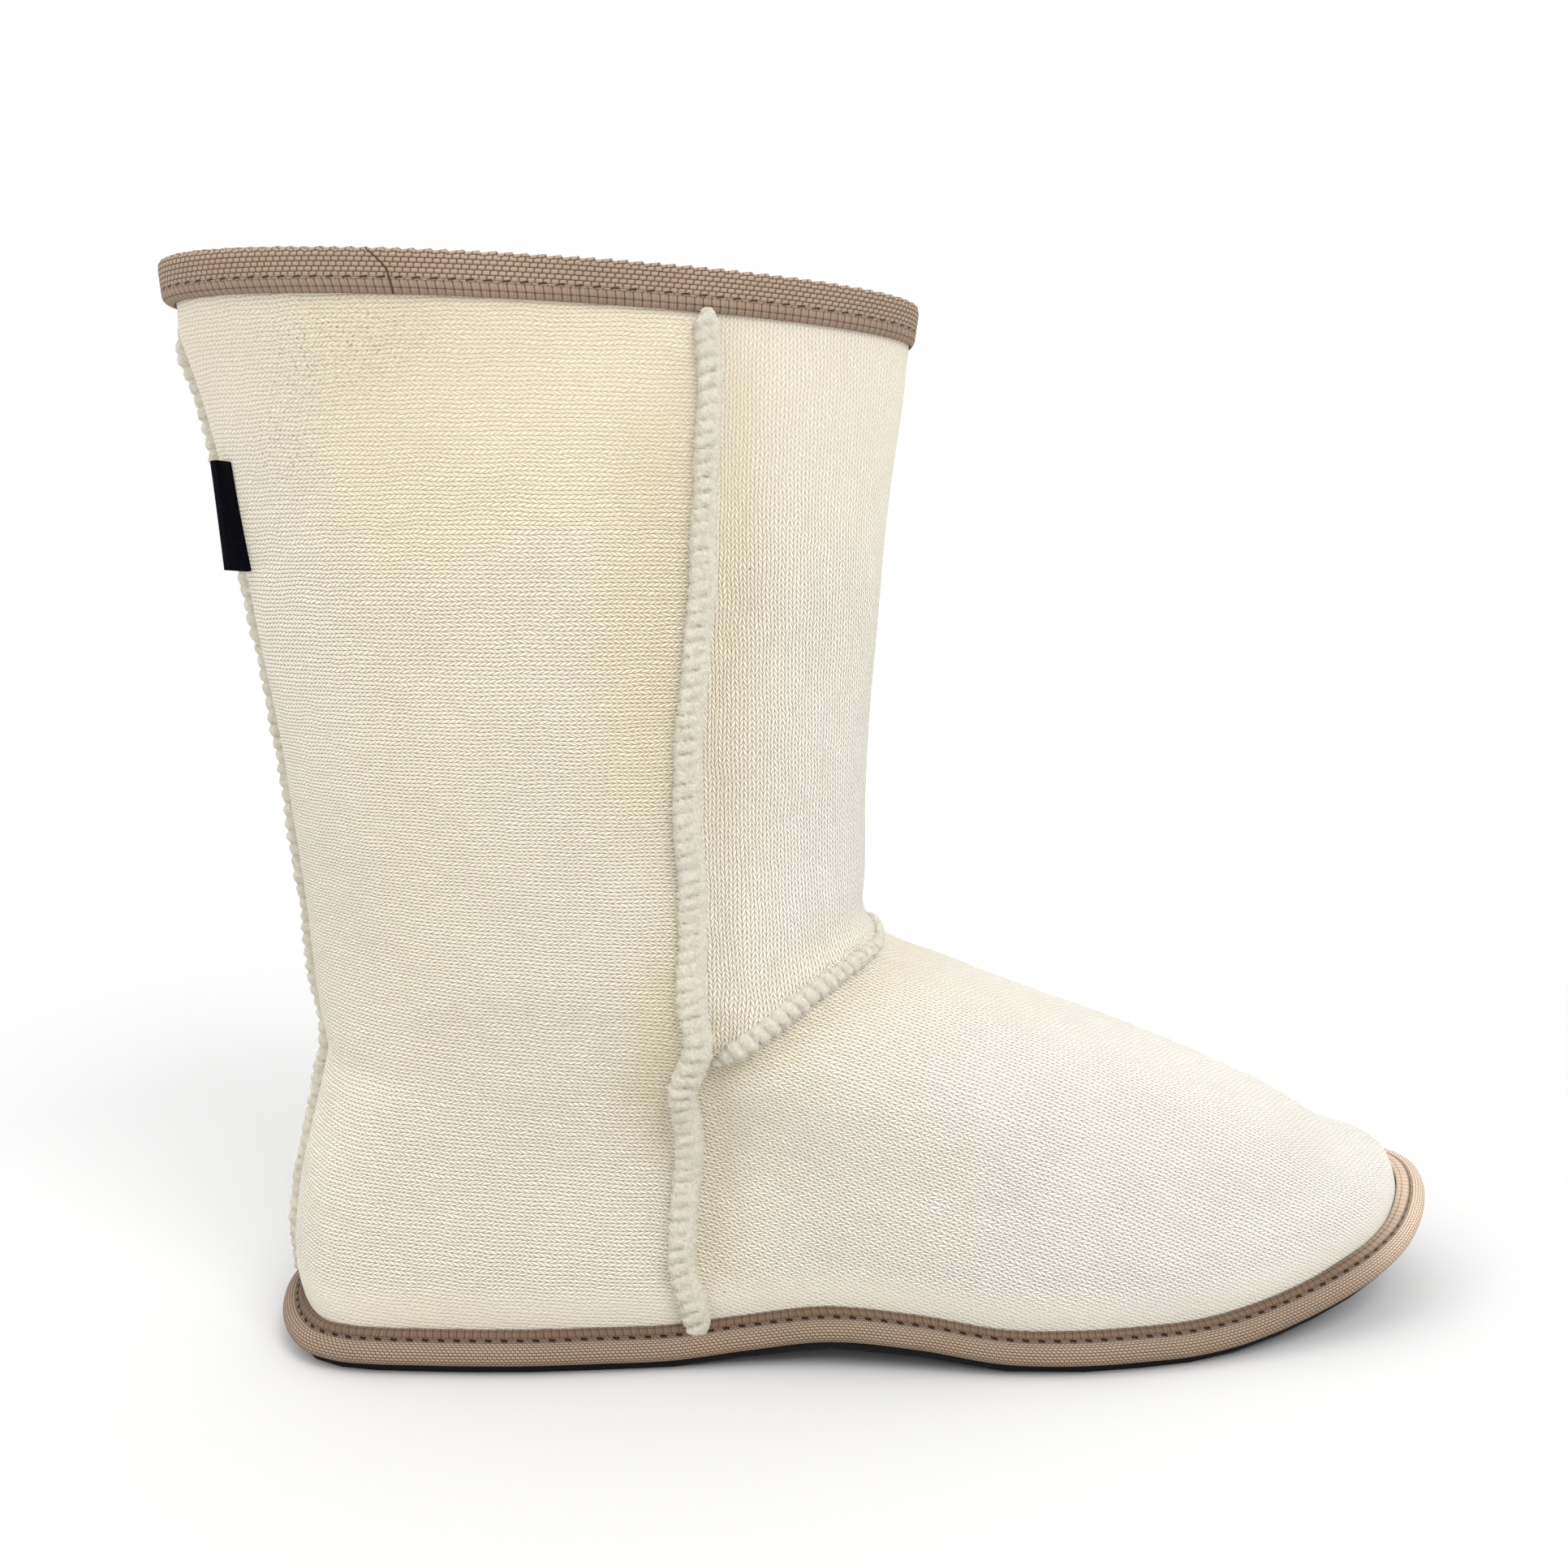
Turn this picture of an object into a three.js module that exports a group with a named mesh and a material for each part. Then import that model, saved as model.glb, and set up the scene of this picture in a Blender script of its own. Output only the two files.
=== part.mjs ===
// A pull-on slipper boot for the right foot, in thick felted wool knit: a soft upper with its raised
// overlocked seams on the outside, a flat dark outsole, an insole, and woven tape that binds the collar
// and the edge of the sole. Millimetres, +X to the toe, +Y to the inner side of the foot, +Z up.
import * as THREE from "three";

// Sole
const SOLE_BACK_X = 2;
const SOLE_TIP_X = 270;
const SOLE_THICK = 4.6;
const HEEL_FLAT_X = [16, 84];
const BALL_FLAT_X = [168, 200];
const HEEL_SPRING = 1;
const ARCH_LIFT = 4.5;
const TOE_SPRING = 18.5;
const TOE_ROLL = 1.65;
const TREAD_THICK = 1.8;
const TREAD_INSET = 1;
const TAPE_SLOT = 1.6;
const TAPE_SLOT_DEPTH = 5.5;

// Upper and insole
const UPPER_WALL = 3.5;
const UPPER_INSET = 4;
const INSOLE_THICK = 4;
const INSOLE_SEAT = 0.6;
const INSOLE_EDGE_CLEARANCE = 0.9;
const INSOLE_INSET = UPPER_INSET + UPPER_WALL + INSOLE_EDGE_CLEARANCE;

// Bindings, seams and tab
const GAP = 0.3;
const SEAT = 0.6;
const TAPE_THICK = 1;
const COLLAR_TAPE_DEPTH = 7.6;
const SEAM_WIDTH = 7;
const SEAM_HEIGHT = 3.4;
const SEAM_EDGE_SHARE = 0.35;
const SEAM_END_CLEARANCE = 1;
const TAB_REACH = 8.5;
const TAB_RISE = { low: 3, high: 0.6 };
const TAB_THICK = 1.1;

// Facets
const STATIONS_ROUND = 56;
const WALL_STEP = 13;
const THROAT_STEP = 5;
const THROAT_WAYS = [90, 125];
const SEAM_STATIONS = 26;
const RIDGE_CORNERS = 6;
const TAB_STATIONS = 4;
const SEARCH_TURNS = 40;

// Edge of the outsole from above, in order round the foot from the back of the heel.
const FOOTPRINT = [
  { place: "heel back", x: SOLE_BACK_X, y: 0 },
  { place: "outer heel corner", x: 10.5, y: -26 },
  { place: "outer heel", x: 44, y: -34.5 },
  { place: "outer waist", x: 104, y: -37 },
  { place: "outer ball", x: 176, y: -46 },
  { place: "little toe", x: 222, y: -39 },
  { place: "outer toe corner", x: 256.5, y: -23.5 },
  { place: "toe tip", x: SOLE_TIP_X, y: 3 },
  { place: "inner toe corner", x: 260.5, y: 28 },
  { place: "big toe", x: 232, y: 41 },
  { place: "inner ball", x: 184, y: 44.5 },
  { place: "inner waist", x: 112, y: 32 },
  { place: "inner heel", x: 46, y: 33 },
  { place: "inner heel corner", x: 11, y: 25 },
];

// Loops of the upper from the sole to the collar. way is the distance up the wall. The back and front
// points lie on the centre line, their heights above the share of the sole's own curve that the loop keeps.
// halfWidth is the oval's, spread scales the footprint, and foot is the footprint's share of the loop.
const LOOP_COLUMNS = [
  "at", "way", "backX", "backZ", "frontX", "frontZ", "halfWidth", "spread", "foot", "sole",
];
const LOOPS = [
  ["feather", 0, 6, 0.3, 266, 0.3, 43, 1, 1, 1],
  ["side wall", 10, 5, 10, 264.6, 8.4, 44, 1.03, 1, 1],
  ["toe crown", 22, 5.8, 24, 253.5, 19.8, 44, 1.02, 1, 0.8],
  ["toe box", 35, 7.6, 35.8, 240, 35.6, 43, 0.98, 0.95, 0.55],
  ["ball", 55, 10.2, 48, 213, 53.8, 41.5, 0.94, 0.8, 0.3],
  ["vamp", 77, 12.4, 59.5, 180, 67.8, 40, 0.92, 0.6, 0.1],
  ["instep", 96, 12.8, 70, 154, 80, 39, 0.9, 0.4, 0],
  ["throat", 109, 12, 79, 139.5, 89.5, 38.5, 0.88, 0.2, 0],
  ["ankle", 123, 10.8, 94, 134.8, 102, 38, 0.86, 0.08, 0],
  ["low shaft", 144.5, 8.6, 118, 134, 121, 38, 0.86, 0, 0],
  ["mid shaft", 176, 4, 152, 135.7, 150, 38, 0.86, 0, 0],
  ["high shaft", 198.5, 0.2, 175, 137.7, 172, 38, 0.86, 0, 0],
  ["flare", 228, -6.2, 206, 140.7, 199.5, 38.5, 0.86, 0, 0],
  ["collar", 254, -14.8, 232, 143.7, 225.3, 39, 0.86, 0, 0],
].map((row) => Object.fromEntries(row.map((value, i) => [LOOP_COLUMNS[i], value])));
const COLLAR_WAY = LOOPS[LOOPS.length - 1].way;

// Side seam, from the sole to the collar: it wanders a little, as a soft seam does.
const SIDE_SEAM = [
  { height: 25, x: 90.4 },
  { height: 43, x: 92.2 },
  { height: 61, x: 91.4 },
  { height: 75, x: 94.2 },
  { height: 95, x: 93.6 },
  { height: 122, x: 92.2 },
  { height: 140, x: 93.2 },
  { height: 170, x: 95.6 },
  { height: 205, x: 97.4 },
];
const INSTEP_SEAM_SIDE = { height: 70.5, x: 93 };
const INSTEP_SEAM_FRONT_HEIGHT = 89;
const INSTEP_SEAM_SWEEP = 2.2;
const TAB_HEIGHTS = [170, 192];

const smoothStep = (t) => {
  const s = Math.min(1, Math.max(0, t));
  return s * s * (3 - 2 * s);
};

// Underside of the outsole: flat under heel and ball, with the arch between and the toe rolled up.
function soleLine(x) {
  const [heelStart, heelEnd] = HEEL_FLAT_X;
  const [ballStart, ballEnd] = BALL_FLAT_X;
  if (x < heelStart) {
    return HEEL_SPRING * ((heelStart - x) / (heelStart - SOLE_BACK_X)) ** 2;
  }
  if (x > ballEnd) {
    return TOE_SPRING * ((x - ballEnd) / (SOLE_TIP_X - ballEnd)) ** TOE_ROLL;
  }
  const middle = (heelEnd + ballStart) / 2;
  const half = (ballStart - heelEnd) / 2;
  return ARCH_LIFT * smoothStep(1 - Math.abs(x - middle) / half);
}
const soleTop = (x) => soleLine(x) + SOLE_THICK;

// Footprint curve, and the same curve moved in from the edge.
const footprint = new THREE.CatmullRomCurve3(
  FOOTPRINT.map(({ x, y }) => new THREE.Vector3(x, y, 0)),
  true,
  "centripetal",
);
function outline(round, inset = 0) {
  const step = 1e-3;
  const wrap = (t) => ((t % 1) + 1) % 1;
  const tangent = footprint.getPoint(wrap(round + step)).sub(footprint.getPoint(wrap(round - step)));
  const outward = new THREE.Vector3(tangent.y, -tangent.x, 0).normalize();
  return footprint.getPoint(wrap(round)).addScaledVector(outward, -inset);
}

// One column of the loop table at a distance up the wall, by a smooth curve through the rows.
function column(name, way) {
  const last = LOOPS.length - 2;
  let i = 0;
  while (i < last && way > LOOPS[i + 1].way) i += 1;
  const slope = (k) => {
    const before = LOOPS[Math.max(0, k - 1)];
    const after = LOOPS[Math.min(LOOPS.length - 1, k + 1)];
    return (after[name] - before[name]) / (after.way - before.way);
  };
  const [low, high] = [LOOPS[i], LOOPS[i + 1]];
  const span = high.way - low.way;
  const t = (way - low.way) / span;
  const bend = t * t * (3 - 2 * t);
  return (
    low[name] * (1 - bend) +
    high[name] * bend +
    span * (slope(i) * t * (1 - t) ** 2 - slope(i + 1) * t * t * (1 - t))
  );
}

// Outer face of the upper: round is the turn from the back of the heel by the outer side, way the height.
const INNER_BACK_X = SOLE_BACK_X + UPPER_INSET;
const INNER_LENGTH = SOLE_TIP_X - SOLE_BACK_X - 2 * UPPER_INSET;
function upperPoint(round, way) {
  const turn = 2 * Math.PI * round;
  const foot = column("foot", way);
  const print = outline(round, UPPER_INSET);
  const along = THREE.MathUtils.lerp(
    (1 - Math.cos(turn)) / 2,
    (print.x - INNER_BACK_X) / INNER_LENGTH,
    foot,
  );
  const across = THREE.MathUtils.lerp(
    -column("halfWidth", way) * Math.sin(turn),
    column("spread", way) * print.y,
    foot,
  );
  const x = THREE.MathUtils.lerp(column("backX", way), column("frontX", way), along);
  const rise = THREE.MathUtils.lerp(column("backZ", way), column("frontZ", way), along);
  return new THREE.Vector3(x, across, rise + column("sole", way) * soleTop(x));
}

// Directions on the upper: along the loop, up the wall and outwards, by small steps.
function upperFrame(round, way) {
  const stepRound = 1e-3;
  const stepWay = 0.5;
  const low = Math.max(0, way - stepWay);
  const high = Math.min(COLLAR_WAY, way + stepWay);
  const alongLoop = upperPoint(round + stepRound, way)
    .sub(upperPoint(round - stepRound, way))
    .divideScalar(2 * stepRound);
  const upWall = upperPoint(round, high).sub(upperPoint(round, low)).divideScalar(high - low);
  const outward = new THREE.Vector3().crossVectors(alongLoop, upWall).normalize();
  return { point: upperPoint(round, way), alongLoop, upWall, outward };
}

// A point that stands off the outer face, or inside the wall when stand is negative.
function offUpper(round, way, stand) {
  const { point, outward } = upperFrame(round, way);
  return point.addScaledVector(outward, stand);
}

// A closed mesh through rings of points. Rings go round each section, and the last meets the first
// again when the loft is closed, or else both ends are capped.
function loft(rings, closed) {
  const size = rings[0].length;
  const positions = rings.flat().flatMap((p) => [p.x, p.y, p.z]);
  const index = [];
  const spans = closed ? rings.length : rings.length - 1;
  for (let r = 0; r < spans; r += 1) {
    const here = r * size;
    const next = ((r + 1) % rings.length) * size;
    for (let k = 0; k < size; k += 1) {
      const after = (k + 1) % size;
      index.push(here + k, next + k, next + after, here + k, next + after, here + after);
    }
  }
  if (!closed) {
    const end = (rings.length - 1) * size;
    for (let k = 1; k < size - 1; k += 1) {
      index.push(0, k, k + 1, end, end + k + 1, end + k);
    }
  }
  return meshGeometry(positions, index);
}

// A plate from loops stacked downwards, with its top and bottom closed by rungs from side to side.
function slab(loops) {
  const size = loops[0].length;
  const positions = loops.flat().flatMap((p) => [p.x, p.y, p.z]);
  const index = [];
  for (let l = 0; l < loops.length - 1; l += 1) {
    const upper = l * size;
    const lower = (l + 1) * size;
    for (let k = 0; k < size; k += 1) {
      const after = (k + 1) % size;
      index.push(upper + k, lower + k, lower + after, upper + k, lower + after, upper + after);
    }
  }
  const bottom = (loops.length - 1) * size;
  for (let k = 0; k < size / 2; k += 1) {
    const [a, b, c, d] = [k, k + 1, size - k - 1, (size - k) % size];
    if (b !== c) {
      index.push(a, b, c, bottom + a, bottom + c, bottom + b);
    }
    if (a !== d) {
      index.push(a, c, d, bottom + a, bottom + d, bottom + c);
    }
  }
  return meshGeometry(positions, index);
}

function meshGeometry(positions, index) {
  const geometry = new THREE.BufferGeometry();
  geometry.setAttribute("position", new THREE.Float32BufferAttribute(positions, 3));
  geometry.setIndex(index);
  geometry.computeVertexNormals();
  return geometry;
}

const rounds = Array.from({ length: STATIONS_ROUND }, (_, i) => i / STATIONS_ROUND);
const steps = (count) => Array.from({ length: count + 1 }, (_, i) => i / count);

// Distances up the wall at which the upper has a loop of corners: close together where the front bends.
function wallWays() {
  const [throatLow, throatHigh] = THROAT_WAYS;
  const even = (from, to, step) => {
    const count = Math.ceil((to - from) / step);
    return steps(count).map((t) => THREE.MathUtils.lerp(from, to, t));
  };
  return [
    ...even(0, throatLow, WALL_STEP).slice(0, -1),
    ...even(throatLow, throatHigh, THROAT_STEP).slice(0, -1),
    ...even(throatHigh, COLLAR_WAY, WALL_STEP),
  ];
}

// Upper: the wall goes up the outer face and down the inner face at each station round the foot.
function upperGeometry() {
  const ways = wallWays();
  const rings = rounds.map((round) => [
    ...ways.map((way) => offUpper(round, way, 0)),
    ...ways.toReversed().map((way) => offUpper(round, way, -UPPER_WALL)),
  ]);
  return loft(rings, true);
}

// Outsole: a board and a thin tread, with a slot between them all round that takes the binding's lip.
function outsoleGeometry() {
  const level = (inset, height) =>
    rounds.map((round) => {
      const p = outline(round, inset);
      return p.setZ(soleLine(p.x) + height);
    });
  return slab([
    level(0, SOLE_THICK),
    level(0, TREAD_THICK + TAPE_SLOT),
    level(TAPE_SLOT_DEPTH, TREAD_THICK + TAPE_SLOT),
    level(TAPE_SLOT_DEPTH, TREAD_THICK),
    level(TREAD_INSET, TREAD_THICK),
    level(TREAD_INSET, 0),
  ]);
}

function insoleGeometry() {
  const level = (height) =>
    rounds.map((round) => {
      const p = outline(round, INSOLE_INSET);
      return p.setZ(soleTop(p.x) + height);
    });
  return slab([level(INSOLE_SEAT + INSOLE_THICK), level(INSOLE_SEAT)]);
}

// Sole binding: tape from the slot in the outsole, round its edge and up on to the foot of the upper.
// out is measured from the outsole's edge and up from its underside.
const LIP_LOW = TREAD_THICK + GAP;
const LIP_HIGH = TREAD_THICK + TAPE_SLOT - GAP;
const SOLE_TAPE_PUFF = [
  { place: "lip end", out: -4.6, up: LIP_LOW },
  { place: "lip turn", out: -0.2, up: LIP_LOW },
  { place: "low bulge", out: 1.4, up: 2.7 },
  { place: "bulge", out: 2, up: 4 },
  { place: "high bulge", out: 1.5, up: 5.6 },
  { place: "shoulder", out: 0.2, up: 6.6 },
  { place: "stitch groove", out: -1.5, up: 6.9 },
  { place: "band foot", out: -1.5, up: 7.3 },
];
const SOLE_TAPE_TOP_WAY = 3.2;
const SOLE_TAPE_SEAT_WAY = 0.6;
function soleBindingGeometry() {
  const rings = rounds.map((round) => {
    const at = ({ out, up }) => {
      const p = outline(round, -out);
      return p.setZ(soleLine(p.x) + up);
    };
    return [
      ...SOLE_TAPE_PUFF.map(at),
      offUpper(round, SOLE_TAPE_TOP_WAY, GAP + TAPE_THICK),
      offUpper(round, SOLE_TAPE_TOP_WAY, GAP),
      offUpper(round, SOLE_TAPE_SEAT_WAY, GAP),
      at({ out: GAP, up: SOLE_THICK + GAP }),
      at({ out: GAP, up: LIP_HIGH }),
      at({ out: SOLE_TAPE_PUFF[0].out, up: LIP_HIGH }),
    ];
  });
  return loft(rings, true);
}

// Collar binding: tape folded over the rim, with a leg on each face of the wall.
function collarBindingGeometry() {
  const foot = COLLAR_WAY - COLLAR_TAPE_DEPTH;
  const mid = COLLAR_WAY - COLLAR_TAPE_DEPTH / 2;
  const outerStand = GAP + TAPE_THICK;
  const innerStand = -UPPER_WALL - GAP - TAPE_THICK;
  const rings = rounds.map((round) => {
    const { upWall } = upperFrame(round, COLLAR_WAY);
    const rim = (stand, lift) =>
      offUpper(round, COLLAR_WAY, stand).addScaledVector(upWall.clone().normalize(), lift);
    return [
      offUpper(round, foot, outerStand),
      offUpper(round, mid, outerStand),
      rim(outerStand, 0),
      rim(GAP, outerStand),
      rim(-UPPER_WALL - GAP, outerStand),
      rim(innerStand, 0),
      offUpper(round, mid, innerStand),
      offUpper(round, foot, innerStand),
      offUpper(round, foot, -UPPER_WALL - GAP),
      offUpper(round, mid, -UPPER_WALL - GAP),
      rim(-UPPER_WALL - GAP, GAP),
      rim(GAP, GAP),
      offUpper(round, mid, GAP),
      offUpper(round, foot, GAP),
    ];
  });
  return loft(rings, true);
}

// A strip on the upper along a path of { round, way }. Each profile point has side, the distance
// across the path on the wall, and stand, its height off the wall.
function stripOnUpper(path, profile) {
  const rings = path.map((here, i) => {
    const before = upperPoint(path[Math.max(0, i - 1)].round, path[Math.max(0, i - 1)].way);
    const next = path[Math.min(path.length - 1, i + 1)];
    const { alongLoop, upWall, outward } = upperFrame(here.round, here.way);
    const forward = upperPoint(next.round, next.way).sub(before).normalize();
    const sideways = new THREE.Vector3().crossVectors(forward, outward).normalize();
    const [aa, ab, bb] = [alongLoop.dot(alongLoop), alongLoop.dot(upWall), upWall.dot(upWall)];
    const [sa, sb] = [sideways.dot(alongLoop), sideways.dot(upWall)];
    const perRound = (sa * bb - sb * ab) / (aa * bb - ab * ab);
    const perWay = (sb * aa - sa * ab) / (aa * bb - ab * ab);
    return profile.map(({ side, stand }) =>
      offUpper(here.round + side * perRound, here.way + side * perWay, stand),
    );
  });
  return loft(rings.toReversed(), false);
}

// Overlocked seam: a low round-backed ridge on short upright edges.
const ridgeProfile = (width, height) => [
  ...steps(RIDGE_CORNERS).map((t) => ({
    side: (-Math.cos(Math.PI * t) * width) / 2,
    stand: SEAT + height * THREE.MathUtils.lerp(SEAM_EDGE_SHARE, 1, Math.sin(Math.PI * t)),
  })),
  { side: width / 2, stand: SEAT },
  { side: 0, stand: SEAT },
  { side: -width / 2, stand: SEAT },
];

// Where a height, and a place along the foot on one side of it, fall on the upper.
function findOnSide(outerSide, x, height) {
  let round = outerSide ? 0.25 : 0.75;
  let way = height;
  for (let turn = 0; turn < SEARCH_TURNS; turn += 1) {
    const { point, alongLoop, upWall } = upperFrame(round, way);
    const [dx, dz] = [x - point.x, height - point.z];
    const det = alongLoop.x * upWall.z - upWall.x * alongLoop.z;
    round += (dx * upWall.z - dz * upWall.x) / det;
    way += (dz * alongLoop.x - dx * alongLoop.z) / det;
  }
  return { round, way };
}

// The way up the wall that reaches a height at one turn round the foot.
function wayAtHeight(round, height) {
  let [low, high] = [0, COLLAR_WAY];
  for (let turn = 0; turn < SEARCH_TURNS; turn += 1) {
    const middle = (low + high) / 2;
    if (upperPoint(round, middle).z < height) low = middle;
    else high = middle;
  }
  return (low + high) / 2;
}

// Seam ends stop just clear of the two bindings.
const SEAM_LOW_WAY = SOLE_TAPE_TOP_WAY + SEAM_END_CLEARANCE;
const SEAM_HIGH_WAY = COLLAR_WAY - COLLAR_TAPE_DEPTH - SEAM_END_CLEARANCE;

function sideSeamPath(outerSide) {
  const corners = SIDE_SEAM.map(({ height, x }) => findOnSide(outerSide, x, height));
  const first = { round: corners[0].round, way: SEAM_LOW_WAY };
  const last = { round: corners[corners.length - 1].round, way: SEAM_HIGH_WAY };
  const points = [first, ...corners, last].map(({ round, way }) => new THREE.Vector2(round, way));
  const curve = new THREE.SplineCurve(points);
  return steps(SEAM_STATIONS).map((t) => {
    const p = curve.getPoint(t);
    return { round: p.x, way: p.y };
  });
}

function backSeamPath() {
  return steps(SEAM_STATIONS).map((t) => ({
    round: 0,
    way: THREE.MathUtils.lerp(SEAM_LOW_WAY, SEAM_HIGH_WAY, t),
  }));
}

// Instep seam: from one side seam up over the front of the ankle to the other.
const SEAM_CLEARANCE_ROUND = 0.0145;
function instepSeamPath() {
  const { height, x } = INSTEP_SEAM_SIDE;
  const start = findOnSide(true, x, height).round + SEAM_CLEARANCE_ROUND;
  const end = findOnSide(false, x, height).round - SEAM_CLEARANCE_ROUND;
  return steps(SEAM_STATIONS).map((t) => {
    const round = THREE.MathUtils.lerp(start, end, t);
    const fromFront = Math.abs(2 * t - 1);
    const drop = (INSTEP_SEAM_FRONT_HEIGHT - height) * fromFront ** INSTEP_SEAM_SWEEP;
    return { round, way: wayAtHeight(round, INSTEP_SEAM_FRONT_HEIGHT - drop) };
  });
}

// Folded woven tab: caught beside the back seam, it stands straight out towards the outer side, and its
// lower end springs off the wall a little more.
function tabGeometry() {
  const root = SEAM_WIDTH / 2 + 2 * GAP;
  const tip = root + TAB_REACH;
  const rings = steps(TAB_STATIONS).map((t) => {
    const way = wayAtHeight(0, THREE.MathUtils.lerp(...TAB_HEIGHTS, t));
    const { point, alongLoop, outward } = upperFrame(0, way);
    const sideways = alongLoop.normalize();
    const tipStand = SEAT + THREE.MathUtils.lerp(TAB_RISE.low, TAB_RISE.high, t);
    const section = [
      { side: root, stand: SEAT },
      { side: tip, stand: tipStand },
      { side: tip + TAB_THICK / 2, stand: tipStand + TAB_THICK / 2 },
      { side: tip, stand: tipStand + TAB_THICK },
      { side: root, stand: SEAT + TAB_THICK },
    ];
    return section.map(({ side, stand }) =>
      point.clone().addScaledVector(sideways, side).addScaledVector(outward, stand),
    );
  });
  return loft(rings, false);
}

const finish = (color, roughness) => new THREE.MeshStandardMaterial({ color, roughness, metalness: 0 });
const woolKnit = finish("#e6e1cf", 0.95);
const woolLining = finish("#e4dfce", 0.95);
const woolThread = finish("#efebdd", 0.95);
const tape = finish("#a99280", 0.85);
const darkSole = finish("#2b292a", 0.8);
const tabWeave = finish("#0b090c", 0.7);

const boot = new THREE.Group();
function piece(name, geometry, material) {
  const mesh = new THREE.Mesh(geometry, material);
  mesh.name = name;
  boot.add(mesh);
}

const ridge = ridgeProfile(SEAM_WIDTH, SEAM_HEIGHT);
piece("upper", upperGeometry(), woolKnit);
piece("outsole", outsoleGeometry(), darkSole);
piece("insole", insoleGeometry(), woolLining);
piece("sole_binding", soleBindingGeometry(), tape);
piece("collar_binding", collarBindingGeometry(), tape);
piece("outer_side_seam", stripOnUpper(sideSeamPath(true), ridge), woolThread);
piece("inner_side_seam", stripOnUpper(sideSeamPath(false), ridge), woolThread);
piece("back_seam", stripOnUpper(backSeamPath(), ridge), woolThread);
piece("instep_seam", stripOnUpper(instepSeamPath(), ridge), woolThread);
piece("back_tab", tabGeometry(), tabWeave);

// The origin is on the floor, under the middle of the boot's box.
const box = new THREE.Box3().setFromObject(boot);
const middle = box.getCenter(new THREE.Vector3());
boot.position.set(-middle.x, -middle.y, -box.min.z);

const slipperBoot = new THREE.Group();
slipperBoot.add(boot);

export default slipperBoot;
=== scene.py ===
# %% [markdown]
# This lesson dresses a pull-on slipper boot in felted wool knit. The plain solids of the boot are loaded
# first and stay where they are. Each soft piece is then made again on top of its own solid, so nothing
# has to be fitted afterwards. Lengths in the lesson are millimetres, and become metres only when a mesh
# is made.

# %% Load the plain solids
import math
from collections import deque

import bmesh
import bpy
import numpy as np
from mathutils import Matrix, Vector
from mathutils import noise as field
from mathutils.kdtree import KDTree


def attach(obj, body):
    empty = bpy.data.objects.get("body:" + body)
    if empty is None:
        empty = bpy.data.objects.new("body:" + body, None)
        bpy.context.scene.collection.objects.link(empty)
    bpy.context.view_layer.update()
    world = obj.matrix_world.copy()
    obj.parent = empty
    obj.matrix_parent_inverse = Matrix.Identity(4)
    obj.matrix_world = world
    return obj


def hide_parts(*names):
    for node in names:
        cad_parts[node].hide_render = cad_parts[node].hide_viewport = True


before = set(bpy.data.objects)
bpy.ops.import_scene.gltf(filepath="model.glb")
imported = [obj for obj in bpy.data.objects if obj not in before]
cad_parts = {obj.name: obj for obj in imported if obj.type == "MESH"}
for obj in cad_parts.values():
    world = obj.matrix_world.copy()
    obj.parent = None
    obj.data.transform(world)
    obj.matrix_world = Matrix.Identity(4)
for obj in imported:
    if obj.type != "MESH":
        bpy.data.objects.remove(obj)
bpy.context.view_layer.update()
MM = 0.001

# %% [markdown]
# The camera stands close to the boot, a little above its ankle and turned five degrees towards the toe. A
# long lens further off would flatten the shaft, so the distance matters as much as the angle.

# %% Camera
PHOTO_PIXELS = 1932
FOCAL_PIXELS = 1937
SENSOR_WIDTH = 36.0
CAMERA_PLACE = Vector((-43.4, -352.6, 173.0))
CAMERA_TURN = math.radians(5)
CAMERA_DIP = math.radians(8.25)


def placed(name, data):
    thing = bpy.data.objects.new(name, data)
    bpy.context.scene.collection.objects.link(thing)
    return thing


camera = placed("camera", bpy.data.cameras.new("camera"))
camera.data.sensor_width = SENSOR_WIDTH
camera.data.lens = SENSOR_WIDTH * FOCAL_PIXELS / PHOTO_PIXELS
camera.data.clip_start = 0.01
camera.location = CAMERA_PLACE * MM
camera.rotation_euler = (math.pi / 2 - CAMERA_DIP, 0, -CAMERA_TURN)
bpy.context.scene.camera = camera
print("lens", round(camera.data.lens, 2), "mm")

# %% [markdown]
# Patterns in a material are arithmetic on places. This small class lets the arithmetic be written as
# Python sums: every sum or product of signals adds the Math node that works it out.

# %% Signals
class Signal:
    def __init__(self, tree, socket=None):
        self.tree = tree
        self.socket = socket

    def node(self, kind, settings=None, inputs=None, output=0):
        made = self.tree.nodes.new("ShaderNode" + kind)
        for name, value in (settings or {}).items():
            setattr(made, name, value)
        for name, value in (inputs or {}).items():
            if isinstance(value, Signal):
                self.tree.links.new(value.socket, made.inputs[name])
            else:
                made.inputs[name].default_value = value
        return Signal(self.tree, made.outputs[output] if made.outputs else None)

    def math(self, operation, *values):
        return self.node("Math", {"operation": operation}, dict(enumerate(values)))

    def __add__(self, other):
        return self.math("ADD", self, other)

    def __sub__(self, other):
        return self.math("SUBTRACT", self, other)

    def __rsub__(self, other):
        return self.math("SUBTRACT", other, self)

    def __mul__(self, other):
        return self.math("MULTIPLY", self, other)

    def __truediv__(self, other):
        return self.math("DIVIDE", self, other)

    def __pow__(self, other):
        return self.math("POWER", self, other)

    def sibling(self, output):
        return Signal(self.tree, self.socket.node.outputs[output])

    def part(self):
        return self.math("FRACT", self)

    def size(self):
        return self.math("ABSOLUTE", self)

    def hump(self):
        return self.math("SINE", self * math.pi)

    def ease(self, low, high):
        ends = {"Value": self, "From Min": low, "From Max": high}
        return self.node("MapRange", {"interpolation_type": "SMOOTHSTEP"}, ends)


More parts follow.
